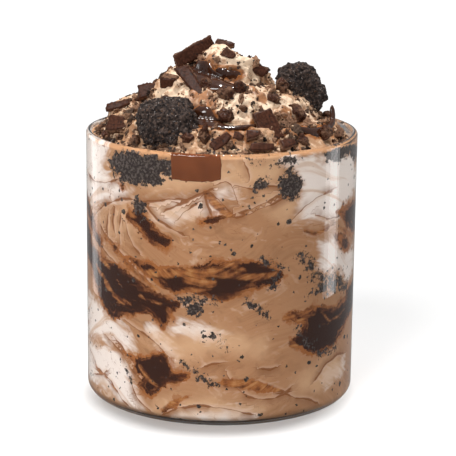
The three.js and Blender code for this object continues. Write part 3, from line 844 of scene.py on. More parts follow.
# What shows through the glass on the shown side. Places are (millimetres to the right of its middle
# along the wall, height). A patch is a closed outline of such places, and a stroke has a half-width at
# each.
FUDGE_PATCHES = {
    "left mass": [
        (-64, 60), (-57, 58.5), (-53, 52.5), (-45, 50.5), (-36, 49.5), (-30, 47), (-24, 44.5), (-18, 42.5),
        (-12, 40.5), (-15, 37.5), (-16, 33), (-18.5, 31), (-21, 34), (-24, 35.5), (-30, 33.5), (-35, 33),
        (-38, 30), (-43, 31.5), (-47, 35), (-51, 39), (-55, 44), (-59, 49), (-64, 52),
    ],
    "left rise": [
        (-66, 72), (-62, 71), (-57, 66), (-51, 60), (-45, 55.5), (-47, 53), (-54, 56.5), (-60, 62),
        (-66, 66),
    ],
    "middle band": [
        (-35, 53.5), (-29, 53.5), (-20, 52), (-12, 52.5), (-5, 54), (1, 55.5), (9, 55), (15, 54),
        (19.5, 50.5), (20.5, 48.5), (17, 45.5), (11, 45.5), (4, 42.5), (0, 41.5), (-5, 43), (-9, 44.5),
        (-14, 43.5), (-19, 45), (-25, 47.5), (-30, 50.5),
    ],
    "notch": [
        (-33, 65.5), (-30, 69.5), (-27, 71), (-24.5, 68), (-20, 64), (-15, 60.5), (-17, 57), (-23, 58.5),
        (-28, 62.5),
    ],
    "right edge": [
        (43, 66.5), (47, 68), (53, 67.5), (66, 67), (66, 53), (59, 55), (54, 58), (50, 60), (46, 64),
    ],
    "right edge below": [(41, 58.5), (46, 59.5), (50, 57), (55, 53), (53, 50.5), (49, 51.5), (46, 55)],
    "right patch": [
        (21, 35.5), (23, 37), (28, 36.5), (34, 37.5), (38, 36), (43, 34.5), (50, 36), (53, 38.5), (59, 40),
        (66, 39), (66, 29), (57, 29), (53, 27), (48, 24), (44, 21.5), (38, 20.5), (32, 20.5), (28, 22),
        (24, 25.5), (23.5, 28), (27, 29.5), (28, 31.5), (25, 33), (21.5, 33.5),
    ],
    "low patch": [
        (-34, 20.8), (-28, 20.8), (-23, 22.5), (-18, 24), (-16, 21.5), (-15, 18), (-12, 18.5), (-9, 17.5),
        (-9, 15.5), (-13, 14), (-17, 13), (-19, 10.5), (-23, 7), (-25.5, 8), (-27.5, 11), (-26.5, 14),
        (-29, 17), (-31, 19),
    ],
}
FUDGE_STROKES = {
    "below the slab": [(-6, 67, 0.9), (-3, 68, 1.3), (1, 69, 0.6)],
    "lens": [(-1, 14.6, 0.3), (4, 15.2, 0.7), (8, 13.8, 1.3), (13, 12.2, 1.1), (21, 10.5, 0.1)],
    "low streak": [(-18.5, 3.5, 0.3), (-16, 5.5, 0.7), (-13, 8, 0.6), (-9, 10.3, 0.2)],
    "over the mass": [(-44, 57.2, 0.2), (-38.5, 55, 0.6), (-34.5, 52.5, 1.0), (-30, 50, 1.2)],
    "spot": [(-35, 75.5, 0.7), (-34, 75, 0.7)],
    "wall line": [(-60, 62, 0.3), (-55, 62.5, 0.5), (-51, 62.5, 0.2)],
}
# Thin lines where one fold of ice cream lies on the next, each with painted shade on its left as one follows
# it and a narrow painted highlight on its right.
FOLD_LINES = {
    "egg top": [
        (-51, 62.5), (-48, 65.2), (-44.5, 67.3), (-38.5, 70), (-34.5, 71.5), (-30.5, 72), (-24.5, 72),
        (-19.5, 73), (-16, 74), (-11, 74), (-8.5, 75), (-6, 76.2), (-3, 78),
    ],
    "egg left": [(-38, 50), (-43.5, 52.5), (-48.5, 55), (-54, 57.5), (-59, 61)],
    "egg low": [(-24, 46.5), (-30, 50.5), (-34.5, 53.5), (-38.5, 56), (-43.5, 58), (-46, 60)],
    "stripe a": [(-41.5, 57), (-42.5, 60.5), (-41.5, 65)],
    "stripe b": [(-38, 59.5), (-39, 63), (-38, 67.5)],
    "stripe c": [(-27, 55), (-29.5, 57), (-32, 60.5), (-33, 64)],
    "stripe d": [(-35.5, 57), (-36, 61), (-35, 65.5)],
    "patch side": [(-25, 71), (-20.5, 67), (-16.5, 65), (-12, 63)],
    "patch a": [(-17.5, 70), (-14, 72), (-10.5, 73.5)],
    "patch b": [(-14, 67), (-11, 70.5), (-7.5, 73)],
    "peak left": [(-2.5, 68), (-3.5, 71), (-5, 75), (-4.5, 77)],
    "peak right": [(-4, 77.2), (-1.5, 75), (1, 72.5), (3.5, 69.5)],
    "swirl": [(5, 74), (4, 77), (3, 79.5), (1.5, 80.5), (-1, 79.5)],
    "swirl over": [(18, 78), (16, 78.5), (12.5, 78.5), (10, 77.5), (4, 79.3)],
    "fold low": [(22, 75), (18, 73.5), (15, 72.3), (11.5, 71.2), (9, 69.8), (5, 69), (1, 69)],
    "fold high": [(20, 76), (16, 74.2), (12.5, 72.8), (9.5, 71.4), (5, 70.2)],
    "upper line": [(8.5, 81.5), (8, 84), (7, 86.3)],
    "right wisp": [(28.5, 62.5), (32.5, 61), (36, 61.3), (41, 62.5)],
    "right wisp low": [(33, 67), (38, 65), (44, 64.5)],
    "long line": [(-25, 11), (-26.5, 13), (-30, 15.4), (-32.5, 18), (-35, 20.4), (-39, 22.4), (-43, 23.8)],
    "long line over": [(-27, 15), (-30, 17.6), (-33, 20.8), (-35, 23), (-39, 24.8)],
    "under the mass": [(-16, 22), (-19.5, 25), (-21.5, 26.8), (-25, 28.7), (-29, 30), (-33, 31.5)],
    "low left": [
        (-32, 2.8), (-34.5, 4.3), (-37.5, 6.7), (-40.5, 9), (-45, 10.4), (-50.5, 11), (-53, 13.2),
        (-58, 15),
    ],
    "low left hook": [(-43, 11.8), (-46, 9.6), (-52, 8.2)],
    "foot line": [(-23, 3.2), (-26, 4.8), (-28.6, 7), (-30, 10.2)],
    "middle crease": [(1, 21.5), (-2, 21), (-4.5, 20.2)],
    "small crease": [(18.5, 19), (16, 18.4), (13.5, 18.9)],
    "lens low": [(24, 11.5), (21, 9.2), (17, 8.4), (12.5, 8.8), (9, 10), (6, 12.4), (3.6, 15.4), (2.4, 18)],
    "line right": [(35, 3.8), (31, 6), (25.5, 7.6), (21, 10.3), (17, 12.3), (13, 14.4)],
    "low arc": [(10, 4), (2, 6.2), (-6, 7), (-13, 5.5), (-18, 3)],
    "right arc": [(34, 12), (39, 16), (46, 17.5), (53, 16)],
    "upper left arc": [(-35, 78), (-42, 75.4), (-50, 74), (-58, 75)],
    "right rise": [(22, 66), (27, 70), (33, 73), (40, 74)],
}
AMBER_STROKES = {
    "fold": [(-5, 77, 0.8), (-3, 74, 1.1), (0, 71, 1.1), (3, 69.5, 0.7)],
    "middle": [(-11, 48.2, 1.3), (-6, 48, 1.7), (-2, 47.6, 1.0)],
    "middle wedge": [(0, 54.2, 0.8), (4, 53.2, 1.1), (8, 51.5, 0.4)],
    "over the band": [
        (-26, 49, 0.8), (-18, 49.5, 1.4), (-9, 51, 1.5), (0, 51, 1.5), (8, 49.5, 1.2), (14, 50, 0.5),
    ],
    "band right": [(10, 48, 0.5), (14, 49.5, 1.0), (18, 50, 0.6)],
    "left": [(-47, 49, 0.5), (-44, 48.5, 0.9), (-41, 47.5, 0.5)],
    "left below": [(-50, 46.2, 0.5), (-47, 44.5, 0.9), (-44, 43.5, 0.5)],
    "left middle": [(-43.5, 42.5, 0.9), (-42, 41, 1.3), (-40, 40, 0.5)],
    "left low": [(-39, 39, 0.7), (-36, 37.8, 1.1), (-31, 37.5, 0.5)],
    "long slash": [(-42, 56, 0.2), (-36, 52.2, 0.6), (-30, 49, 0.7), (-25, 46.4, 0.7), (-20, 44, 0.5)],
    "short slash": [(-27, 41, 0.4), (-23, 40, 0.4), (-19, 39.5, 0.3)],
    "hook": [(-16.5, 38, 0.8), (-15, 35, 0.9)],
    "notch": [(-32, 70, 0.5), (-30.5, 67, 0.9), (-28.5, 66.5, 0.5)],
    "low": [(-27, 17.5, 0.4), (-24.5, 14, 0.7), (-20, 11.6, 0.5)],
    "right": [(26, 33, 0.4), (29, 34, 0.6), (33, 34.5, 0.4)],
    "right lobe": [(23.5, 26.5, 0.9), (26, 24, 0.9)],
    "right tip": [(21, 34.8, 1.1), (24, 35, 0.9)],
    "round the lens": [(2, 14.5, 1.2), (8, 14.2, 1.8), (15, 12.6, 1.3), (20, 11, 0.4)],
    "low left": [(-52, 13, 0.3), (-50, 10.6, 0.7), (-44, 9.8, 0.6), (-38, 7, 0.3)],
    "streak": [(-19, 4, 0.4), (-15, 7, 0.8), (-10, 9.5, 0.4)],
    "right edge": [(45, 61, 0.5), (50, 58.5, 0.9), (58, 54.5, 0.9)],
    "peak": [(-4, 76.5, 0.3), (-2, 74, 0.9), (0.5, 71.5, 1.1), (2.5, 69.8, 0.7)],
    "middle low": [(-11, 45.2, 0.4), (-7.5, 45, 0.7), (-3, 46, 0.4)],
    "right slash": [(36, 34.5, 0.2), (40.5, 30.5, 0.4), (45, 30.5, 0.4), (51, 32, 0.2)],
    "right wisp": [(27, 63, 0.4), (32.5, 61, 0.8), (38, 61.5, 0.5)],
}
CREAM_PATCHES = {
    "upper right": [
        (20, 86.5), (23, 85), (26.5, 80.5), (27.5, 76), (27, 72.5), (24.5, 70.5), (25, 67.5), (31.5, 65.5),
        (38, 64.5), (50, 66), (58, 72), (56, 82), (44, 85),
    ],
    "upper left": [
        (-64, 88), (-42, 88), (-43, 83), (-47, 79), (-40, 76.5), (-31, 74.5), (-33, 72.5), (-42, 70),
        (-50, 67), (-64, 64),
    ],
    "upper middle": [
        (-22, 71), (-16, 73), (-10, 74), (-6, 76.5), (-4, 73), (-1, 70.5), (-6, 70.5), (-11, 68), (-18, 66),
        (-21, 69),
    ],
    "right": [
        (34.5, 58), (43, 57.5), (46, 54), (50, 50), (57, 50.5), (60, 46), (54, 41), (50, 43), (46, 46),
        (40, 48), (36, 50),
    ],
    "low left": [
        (-64, 34), (-50, 33), (-44, 30), (-36, 29.5), (-31, 27), (-30, 23.5), (-34, 22), (-40, 25),
        (-46, 23), (-55, 21), (-64, 19),
    ],
    "lowest left": [
        (-64, 17), (-50, 18), (-42, 20), (-36, 19), (-33, 15), (-30, 9), (-27, 4), (-34, 3), (-42, 5.5),
        (-50, 6), (-64, 6),
    ],
}
CREAM_STROKES = {
    "bottom": [(-14, 3, 0.8), (-6, 4, 1.5), (2, 4.5, 1.7), (11, 3.5, 0.8)],
    "under the band": [(-13, 32, 1.0), (-6, 31.5, 1.7), (0, 29.5, 1.0)],
    "streak": [(-22, 30, 0.5), (-18, 26, 1.0), (-14, 22.5, 0.8)],
    "upper right": [(40, 79, 1.5), (50, 76, 2.5), (60, 73, 2.5)],
    "rim right": [(36, 83, 1.2), (40, 84, 1.2)],
    "low right": [(40, 11, 2.0), (50, 12, 1.6)],
    "over the slab": [(4, 77, 1.0), (1, 78, 1.3), (-1, 75.5, 1.0)],
}
# Broad, soft places where the ice cream is paler.
TAN_STROKES = {
    "upper": [(-30, 80, 3), (-14, 79, 3), (2, 82, 4), (16, 83, 4)],
    "egg": [(-42, 62, 4), (-33, 65, 5)],
    "upper right": [(14, 75, 2), (21, 71, 4)],
    "upper middle": [(-20, 69, 3), (-9, 71, 3)],
    "centre": [(-22, 28, 2), (-12, 26, 4), (0, 29, 4), (12, 26, 3)],
    "right low": [(30, 12, 4), (44, 14, 5)],
    "bottom": [(-20, 5, 2), (-5, 7, 3), (12, 5, 2)],
}
COOKIE_PATCHES = {
    "left cluster": [
        (-40, 82.5), (-36.5, 85), (-31.5, 86.8), (-28.5, 86.2), (-25, 85.5), (-21.5, 87), (-19, 85),
        (-16, 85.5), (-16, 83), (-19.5, 82), (-19.5, 79), (-24, 78.5), (-26, 78.8), (-28.5, 78),
        (-32.5, 78.8), (-35, 77.5), (-33.8, 80), (-36.5, 80.6),
    ],
    "right piece": [
        (18.5, 80.2), (20.5, 80.2), (22, 83), (24, 80), (26, 78.6), (24.6, 76), (23, 74.4), (20, 74.6),
        (19.4, 77.5),
    ],
    "notch head": [(-29, 70), (-28, 71.6), (-26, 71), (-25.6, 69), (-28, 68.6)],
    "right rim": [(37, 86), (41, 86.2), (49, 86), (49, 84.4), (42, 84.2), (38, 84.6)],
    "far right rim": [(50, 87), (55, 85), (62, 82), (62, 79.5), (56, 82), (51, 85)],
    "block": [(-9.5, 39.2), (-7, 39.4), (-6.8, 37.6), (-9, 37.5)],
    "fold": [(10.5, 78.6), (12, 80), (14.5, 79.6), (13, 78.8)],
    "rim bit": [(19, 87), (20, 88), (22.5, 87.8), (23, 86), (21, 86)],
}
COOKIE_STROKES = {
    "middle": [(8, 41.5, 1.1), (12, 39, 1.5), (15.5, 35.3, 1.0)],
    "under the band": [(-13, 41.5, 1.4), (-8, 41.5, 2.0), (-2, 42, 1.5)],
    "low": [(-13, 22, 0.8), (-8, 18.2, 1.1), (-3, 15, 1.2), (0.5, 13.6, 0.6)],
    "right": [(31, 42, 1.3), (36, 43, 2.6), (43, 43, 3.4), (50, 40, 3.0)],
    "right above": [(26, 55, 1.5), (30, 52, 2.6), (32, 47.5, 1.8), (36, 46, 1.8)],
    "band end": [(17, 46, 1.6), (20, 51, 1.4), (13, 55, 1.2)],
    "middle low": [(-6, 28, 0.6), (-2, 30, 1.2), (2, 26, 0.6)],
    "notch": [(-28, 69, 1.2), (-26, 66, 1.0)],
    "fringe": [(-38, 80, 1.4), (-30, 78, 1.6), (-22, 80, 1.4)],
    "right fringe": [(19, 76, 1.2), (24, 75, 1.2), (26, 79, 1.0)],
    "rim": [(8, 87, 0.6), (16, 85, 0.7), (26, 86, 0.7)],
    "right below": [(25, 31, 1.0), (35, 20, 1.0), (45, 20, 1.0)],
    "left low": [(-34, 16.5, 0.5), (-30, 11, 0.8)],
}

# Bare, paler places on the mound that show between the crumbs: [x, y, radius].
BARE_PLACES = [
    (0.4, -9.4, 7.2), (9.6, -12.4, 4.6), (6, -24.6, 3.4), (13.5, -22, 2.8), (20.6, -18.6, 3.2),
    (2, -28, 3.6), (7.6, -26.8, 2.6), (-29, -6.2, 2.8), (-25.4, -8, 2.6), (-19.8, -12.2, 3.6),
    (-13.6, -18.4, 2.8), (-14.2, -2.8, 2.4), (16.8, -26.2, 2.2), (-7, -21.5, 2.2), (27.5, -12, 2.6),
]

# Fudge on the mound, as in the frame's solid: (angle, radius on the mound, half-width), and how high the
# middle is above the mound where that isn't FUDGE_LIFT.
FUDGE_LIFT = 0.5
FUDGE_RUNS = {
    "peak_pool": [
        (181, 9.2, 1.0), (205, 8.4, 2.4), (225, 9.5, 3.4), (240, 11.5, 3.8), (254, 13.5, 3.4),
        (268, 15.5, 2.6), (282, 16.2, 1.8), (291, 15.8, 0.8),
    ],
    "peak_pit": [(258, 9.3, 0.7), (268, 10.2, 1.2), (278, 10.8, 1.4), (288, 11.2, 1.2), (296, 11.4, 0.6)],
    "front_pool": [
        (249, 24.8, 0.8), (253, 25.6, 2.2), (257, 26.8, 3.2), (261, 28.4, 3.0), (266, 30.2, 2.2),
        (271, 31.4, 1.5), (276, 32, 1.1), (282, 31.6, 1.0), (288, 30.6, 1.0), (293, 28.6, 0.6),
    ],
    "right_run": [
        (312, 32.5, 0.8), (315, 34.6, 1.3), (319, 36.4, 1.5), (325, 37, 1.5), (331, 36.8, 1.4),
        (337, 36.4, 1.4), (342, 36.6, 1.3, 2.2), (345, 36.2, 1.2, 4.4), (347, 35.2, 1.1, 6.6),
    ],
}
# Orange-brown smears on the mound, of fudge stirred thinly into it: (x, y, radius).
AMBER_PLACES = [
    (21.2, -21.8, 2.2), (25.1, -20.8, 2.2), (28, -20, 2.2), (20, -30.8, 1.6), (23.2, -29.4, 1.5),
    (-5.1, -35.1, 2.2), (2.4, -37, 1.8), (8.6, -35.9, 1.5), (-8.5, -19.9, 2.0), (-5.7, -22.4, 2.0),
    (6.8, -15.9, 1.8), (10.5, -18.2, 1.8), (12.4, -20.2, 1.4), (-23.1, -17.7, 1.6), (18, -34.1, 1.3),
    (-3.5, -25, 1.5), (-5.4, -9.1, 1.1), (-4.2, -10.9, 1.2), (-2.2, -12.4, 1.2), (0, -13.2, 1.2),
    (2.4, -13.8, 1.2), (4.2, -14.6, 1.2), (-9.6, -24, 1.5), (9, -31.5, 1.3),
]

# The far side repeats the shown side's shapes half a turn on, moved up or down by up to this much.
FAR_SIDE_LIFT = 8.0
# Ends further out than OUTER_EDGE are drawn out by 1 mm and up to DRAWN_OUT more, so that the two halves
# grow into each other.
OUTER_EDGE = 58.0
DRAWN_OUT = 11.0
LOWEST_PLACE, HIGHEST_PLACE = 2, 87
# How far from a fold line its distance is still told.
FOLD_REACH = 12


def both_sides(shapes):
    """The shapes of the shown side, and the same half a turn on and moved up or down by a rule."""
    both = []
    for index, shape in enumerate(shapes.values()):
        lift = FAR_SIDE_LIFT * (2 * float(lattice(index, 5.0, 9.0)) - 1)
        for across, rise in ((0, 0), (GIRTH / 2, lift)):
            moved = []
            for s, z, *width in shape:
                drawn = 1 + DRAWN_OUT * float(lattice(index, z, 3.0)) if abs(s) > OUTER_EDGE else 0
                level = min(max(z + rise, LOWEST_PLACE), HIGHEST_PLACE)
                moved.append((s + math.copysign(drawn, s) + across, level, *width))
            both.append(moved)
    return both


def fold_sides(across, up):
    """Distance to the nearest fold line, above 0 on its left and below on its right, and how near it is."""
    nearest = np.full(np.shape(across), 99.0)
    signed = np.full(np.shape(across), 99.0)
    for line in both_sides(FOLD_LINES):
        for start, end in zip(line, line[1:]):
            away, _, side = to_segment(round_to(across, (start[0] + end[0]) / 2), up, start, end)
            closer = away < nearest
            nearest = np.where(closer, away, nearest)
            signed = np.where(closer, away * np.sign(side), signed)
    return signed, nearest


def wall_depth(place, strokes, patches=None):
    """How deep each place on the wall lies inside the nearest stroke or patch."""
    depth = stroke_depth(*place, both_sides(strokes))
    if patches:
        depth = np.maximum(depth, patch_depth(*place, both_sides(patches)))
    return depth


def wall_fields(points):
    """The marbling at points near the wall: millimetres into each shape, and across the brushing."""
    place = across, up = CONTACT_RADIUS * np.arctan2(points[:, 0], -points[:, 1]), points[:, 2]
    side, near = fold_sides(across, up)
    waves = up - 7 * np.cos(4 * TURN * (across + 40) / GIRTH)
    return {
        "flow": waves + 5 * noise_at(points, 19, 4.4) + 1.2 * noise_at(points, 8, 1.3),
        "folded": 0.5 - 0.5 * np.sin(across / CONTACT_RADIUS - 0.2),
        "fudge": wall_depth(place, FUDGE_STROKES, FUDGE_PATCHES),
        "amber": wall_depth(place, AMBER_STROKES),
        "cream": wall_depth(place, CREAM_STROKES, CREAM_PATCHES),
        "tan": wall_depth(place, TAN_STROKES),
        "cookie": wall_depth(place, COOKIE_STROKES),
        "chunk": patch_depth(*place, both_sides(COOKIE_PATCHES)),
        # Where the painted shade and painted highlight beside the fold lines fall.
        "fold_side": np.clip(side, -FOLD_REACH, FOLD_REACH),
        "fold_near": np.clip(near, 0, FOLD_REACH),
    }


def places_depth(points, places):
    """How deep each point of the mound lies inside the nearest round place, at the front and the back."""
    best = np.full(len(points), -99.0)
    for x, y, radius in places:
        for side in (1, -1):
            best = np.maximum(best, radius - np.hypot(points[:, 0] - x, points[:, 1] - side * y))
    return best


def run_knots(route, share):
    """Angle, radius, half-width and height of a fudge run at shares of its length."""
    knots = np.linspace(0, 1, len(route))
    full = zip(*[(*knot, FUDGE_LIFT)[:4] for knot in route])
    angle, radius, half, lift = (np.interp(share, knots, values) for values in full)
    return angle, radius, half * np.clip(np.minimum(share, 1 - share) * 12, 0, 1) ** 0.6, lift


def run_depth(points):
    """How deep each point lies under a fudge run."""
    best = np.full(len(points), -99.0)
    for route in FUDGE_RUNS.values():
        angle, radius, half, lift = run_knots(route, np.linspace(0, 1, 40))
        middle = mound_point(radius, np.radians(angle))
        middle[:, 2] += lift
        for place, width in zip(middle, half):
            best = np.maximum(best, width - np.linalg.norm(points - place, axis=1))
    return best


def mound_fields(points, fold):
    """The marbling at points on the mound; fold is 1 on the crown of the spiral fold."""
    bare = places_depth(points, BARE_PLACES)
    under_run = run_depth(points)
    return {
        "flow": 9 * fold + 2.5 * noise_at(points, 6, 2.1),
        "folded": 0.35,
        "fudge": under_run + 0.7,
        "amber": np.maximum(under_run + 1.5, places_depth(points, AMBER_PLACES) + 0.4),
        "cream": 0.8 * bare + 1.2 * (fold - 0.5),
        "cookie": 3.5 * (1 - fold) - 2.2 + 2.2 * noise_at(points, 5.5, 7.7) - smooth(-1, 1.5, bare) * 3,
    }


# What stands in for a kind of marbling that the mound doesn't have, and the range that is stored.
ABSENT = -8.0
LEAST_DEPTH, MOST_DEPTH = -12, 120


def store_marbling(piece, fields, mound=0, on_mound=None):
    """Stores the marbling of the wall, and from the point number mound on that of the mound."""
    for name, values in fields.items():
        if on_mound:
            values[mound:] = on_mound.get(name, ABSENT)
        set_attribute(piece, name, np.clip(values, LEAST_DEPTH, MOST_DEPTH))


def level_ring(radius, angle, height):
    """Points round the glass at one radius, at one height or at a height for each."""
    height = np.broadcast_to(height, angle.shape)
    return np.stack([radius * np.cos(angle), radius * np.sin(angle), height], -1)


class DESSERT_OT_ice_cream(bpy.types.Operator):
    """Fills the glass with marbled ice cream and raises its spiral mound, ring by ring"""

    bl_idname = "dessert.ice_cream"
    bl_label = "Ice cream"

    def execute(self, context):
        settings = context.scene.dessert_ice_cream
        sides, mound_rings, wall_rings = settings.sides, settings.mound_rings, settings.wall_rings
        angle = np.arange(sides) / sides * TURN
        foot = BASE - CONTACT
        start, level = foot + FILL_CORNER, edge_level(angle)
        inward = [(radius, foot) for radius in np.linspace(6, CONTACT_RADIUS - FILL_CORNER, 10)[:-1]]
        corner = arc(CONTACT_RADIUS - FILL_CORNER, start, FILL_CORNER, -90, 0, 5)
        rings = [level_ring(radius, angle, height) for radius, height in inward + corner]
        for share in np.linspace(0, 1, wall_rings + 1)[1:]:
            rings.append(level_ring(CONTACT_RADIUS, angle, start + share * (level - start)))
        mound = 1 + len(rings) * sides
        radii = FILL_RADIUS * (1 - np.arange(mound_rings) / mound_rings)
        rings += [mound_point(np.full(sides, radius), angle, fine=1.0) for radius in radii]
        peak = mound_point(np.zeros(1), np.zeros(1), fine=1.0)
        points = np.concatenate([[[0, 0, foot]], *rings, peak])
        fold = fold_height(np.append(np.repeat(radii, sides), 0), np.append(np.tile(angle, mound_rings), 0))

        piece = mesh_object("ice_cream_body", points, loft_faces(len(rings), sides))
        store_marbling(piece, wall_fields(points), mound, mound_fields(points[mound:], fold))
        behind = ice_cream_material("ice_cream_behind_glass", settings, wall=True)
        above = ice_cream_material("ice_cream_mound", settings, wall=False)
        finish_piece(piece, [behind, above], "ice_cream")
        on_mound = [min(face.vertices) >= mound for face in piece.data.polygons]
        piece.data.polygons.foreach_set("material_index", np.array(on_mound, np.int32))
        return {"FINISHED"}


def fudge_run(name, route, steps=110, sides=32):
    """A sheet or strand of fudge that follows the mound's surface under it."""
    share = np.linspace(0, 1, steps)
    angle, radius, half, lift = run_knots(route, share)
    flat = np.stack([radius * np.cos(np.radians(angle)), radius * np.sin(np.radians(angle))], -1)
    along = np.gradient(flat, axis=0)
    along /= np.linalg.norm(along, axis=1)[:, None]
    across = np.stack([-along[:, 1], along[:, 0]], -1)
    half = half * (1 + 0.2 * noise(9 * share, len(route), 3.3))
    rise = 0.4 + 1.2 * half / (1 + 0.7 * half)
    turn = np.arange(sides) / sides * TURN
    spread = flat[:, None] + (half[:, None] * np.cos(turn))[..., None] * across[:, None]
    ground = mound_point(np.hypot(*spread.T).T, np.arctan2(spread[..., 1], spread[..., 0]))
    upright = spread / np.linalg.norm(spread, axis=-1)[..., None] * 0.5
    upright = np.concatenate([upright, np.full(upright.shape[:2] + (1,), 0.85)], -1)
    height = np.maximum(np.sin(turn), 0) ** 0.7 * rise[:, None] + 0.7 * np.minimum(np.sin(turn), 0)
    rings = ground + height[..., None] * upright
    rings[..., 2] += lift[:, None] - FUDGE_LIFT
    points = np.concatenate([rings[0].mean(0)[None], *rings[1:-1], rings[-1].mean(0)[None]])
    points[1:-1] += 0.12 * noise_at(points[1:-1], 3.4, 6.1)[:, None] * np.array([0.4, 0.4, 1.0])
    piece = mesh_object(name, points, loft_faces(steps - 2, sides))
    rim = smooth(0.6, 1.0, np.abs(np.cos(turn))) * smooth(0.9, 1.8, half[1:-1])[:, None]
    set_attribute(piece, "rim", np.concatenate([[1], rim.ravel(), [1]]))
    return outward(piece)


class DESSERT_OT_fudge(bpy.types.Operator):
    """Lays glossy fudge in the folds of the mound"""

    bl_idname = "dessert.fudge"
    bl_label = "Fudge"

    def execute(self, context):
        material = fudge_material(context.scene.dessert_ice_cream)
        for name, route in FUDGE_RUNS.items():
            finish_piece(fudge_run(f"fudge_{name}", route), material, "ice_cream")
        return {"FINISHED"}


# ---------------------------------------------------------------------------------------------
# Cookie and chocolate
# ---------------------------------------------------------------------------------------------

def crumbly(points, normals, depth=1.0):
    """Points moved in and out as the crags of a crumbly break."""
    crags = 0.50 * noise_at(points, 2.7, 1.1) + 0.50 * np.abs(noise_at(points, 1.5, 5.3))
    crags += 0.36 * noise_at(points, 0.8, 2.9) + 0.20 * noise_at(points, 0.45, 8.2)
    pits = smooth(0.25, 0.6, noise_at(points, 1.9, 9.4))
    return points + (depth * (crags - 0.2 - 0.55 * pits))[:, None] * normals


class DESSERT_OT_cookie_chunks(bpy.types.Operator):
    """Breaks the two large cookie chunks that lie on the mound"""

    bl_idname = "dessert.cookie_chunks"
    bl_label = "Cookie chunks"

    def execute(self, context):
        settings = context.scene.dessert_toppings
        material = cookie_material(settings)
        for node_name in ("cookie_chunk_left", "cookie_chunk_right"):
            piece = fine_copy(node_name, f"crumbly_{node_name}", settings.voxel / MM)
            points, normals = mesh_points(piece.data), mesh_normals(piece.data)
            move_points(piece.data, crumbly(points, normals))
            finish_piece(piece, material, node_name)
        return {"FINISHED"}


def thin_axis(points):
    """The direction in which a flat piece is thinnest."""
    _, vectors = np.linalg.eigh(np.cov((points - points.mean(0)).T))
    return vectors[:, 0]


def snap_edges(piece, axis):
    """Roughens a flake's snapped sides, smooths its faces, and marks the sides for its material."""
    points, normals = mesh_points(piece.data), mesh_normals(piece.data)
    side = smooth(0.35, 0.9, 1 - np.abs(normals @ axis))
    strata = np.sin(5.5 * (points @ axis) + 2 * noise_at(points, 1.5, 3.7))
    broken = 0.36 * noise_at(points, 1.4, 4.1) + 0.22 * noise_at(points, 0.6, 7.3) + 0.09 * strata
    face = 0.10 * noise_at(points, 2.2, 5.9) + 0.05 * noise_at(points, 0.7, 1.9)
    move_points(piece.data, points + (side * broken + (1 - side) * face)[:, None] * normals)
    set_attribute(piece, "snapped", side)
    set_attribute(piece, "layer", points @ axis)


class DESSERT_OT_chocolate(bpy.types.Operator):
    """Shapes the chocolate bars, flakes, blocks and nubs that lie on the mound"""

    bl_idname = "dessert.chocolate"
    bl_label = "Chocolate pieces"

    def execute(self, context):
        settings = context.scene.dessert_toppings
        material = chocolate_material(settings)
        for node_name, node in sorted(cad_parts.items()):
            if not node_name.startswith(("bar_", "flake_", "block_", "splinter_", "nub_")):
                continue
            piece = fine_copy(node_name, f"chocolate_{node_name}", settings.voxel / MM)
            if node_name.startswith("nub_"):
                points, normals = mesh_points(piece.data), mesh_normals(piece.data)
                move_points(piece.data, crumbly(points, normals, 0.7))
                set_attribute(piece, "snapped", 0.5 + 0.5 * noise_at(points, 1.6, 3.0))
            else:
                snap_edges(piece, thin_axis(mesh_points(node.data)))
            finish_piece(piece, material, node_name)
        return {"FINISHED"}


def press_to_glass(points):
    """Moves the side that touches the glass out until it reaches just into the wall."""
    radius = np.hypot(points[:, 0], points[:, 1])
    pressed = smooth(FILL_RADIUS - 0.9, FILL_RADIUS - 0.2, radius)
    wanted = radius + pressed * (CONTACT_RADIUS + 0.1 - radius)
    factor = np.where(radius > 1, wanted / np.maximum(radius, 1), 1)
    return points * np.stack([factor, factor, np.ones(len(points))], -1)


def cookie_edge(points):
    """How far the edge of a pressed piece of cookie is moved out, raggedly."""
    return 0.6 * noise_at(points, 2.4, 3.3) + 0.4 * noise_at(points, 1.1, 6.2) - 0.3


def slab_edge(points):
    """How far the edge of the slab is moved out, with drips along its lower edge."""
    drips = noise_at(points * (1, 1, 0.15), 1.7, 4.4) + 0.5 * noise_at(points * (1, 1, 0.3), 0.8, 2.2)
    return (2.6 * drips - 1.0) * smooth(83.5, 81.5, points[:, 2]) - 0.8


class DESSERT_OT_pressed_pieces(bpy.types.Operator):
    """Presses a slab of milk chocolate and pieces of cookie against the inside of the glass"""

    bl_idname = "dessert.pressed_pieces"
    bl_label = "Pieces behind the glass"

    def execute(self, context):
        settings = context.scene.dessert_toppings
        slab = slab_material(settings)
        behind = bpy.data.materials["ice_cream_behind_glass"]
        kinds = {
            "slab_behind_glass": (slab, "milk_chocolate", slab_edge),
            "cookie_behind_glass": (behind, "cookie", cookie_edge),
            "cookie_behind_glass_right": (behind, "cookie", cookie_edge),
        }
        for node_name, (material, slot, edge) in kinds.items():
            piece = fine_copy(node_name, f"pressed_{node_name}", settings.voxel / MM)
            points, normals = mesh_points(piece.data), mesh_normals(piece.data)
            outward_way = points * (1, 1, 0) / np.linalg.norm(points[:, :2], axis=1)[:, None]
            sideways = 1 - np.clip((normals * outward_way).sum(1), 0, 1) ** 2
            points = points + (sideways * edge(points))[:, None] * normals
            move_points(piece.data, press_to_glass(points))
            if material == behind:
                store_marbling(piece, wall_fields(points))
            finish_piece(piece, material, node_name)
        return {"FINISHED"}


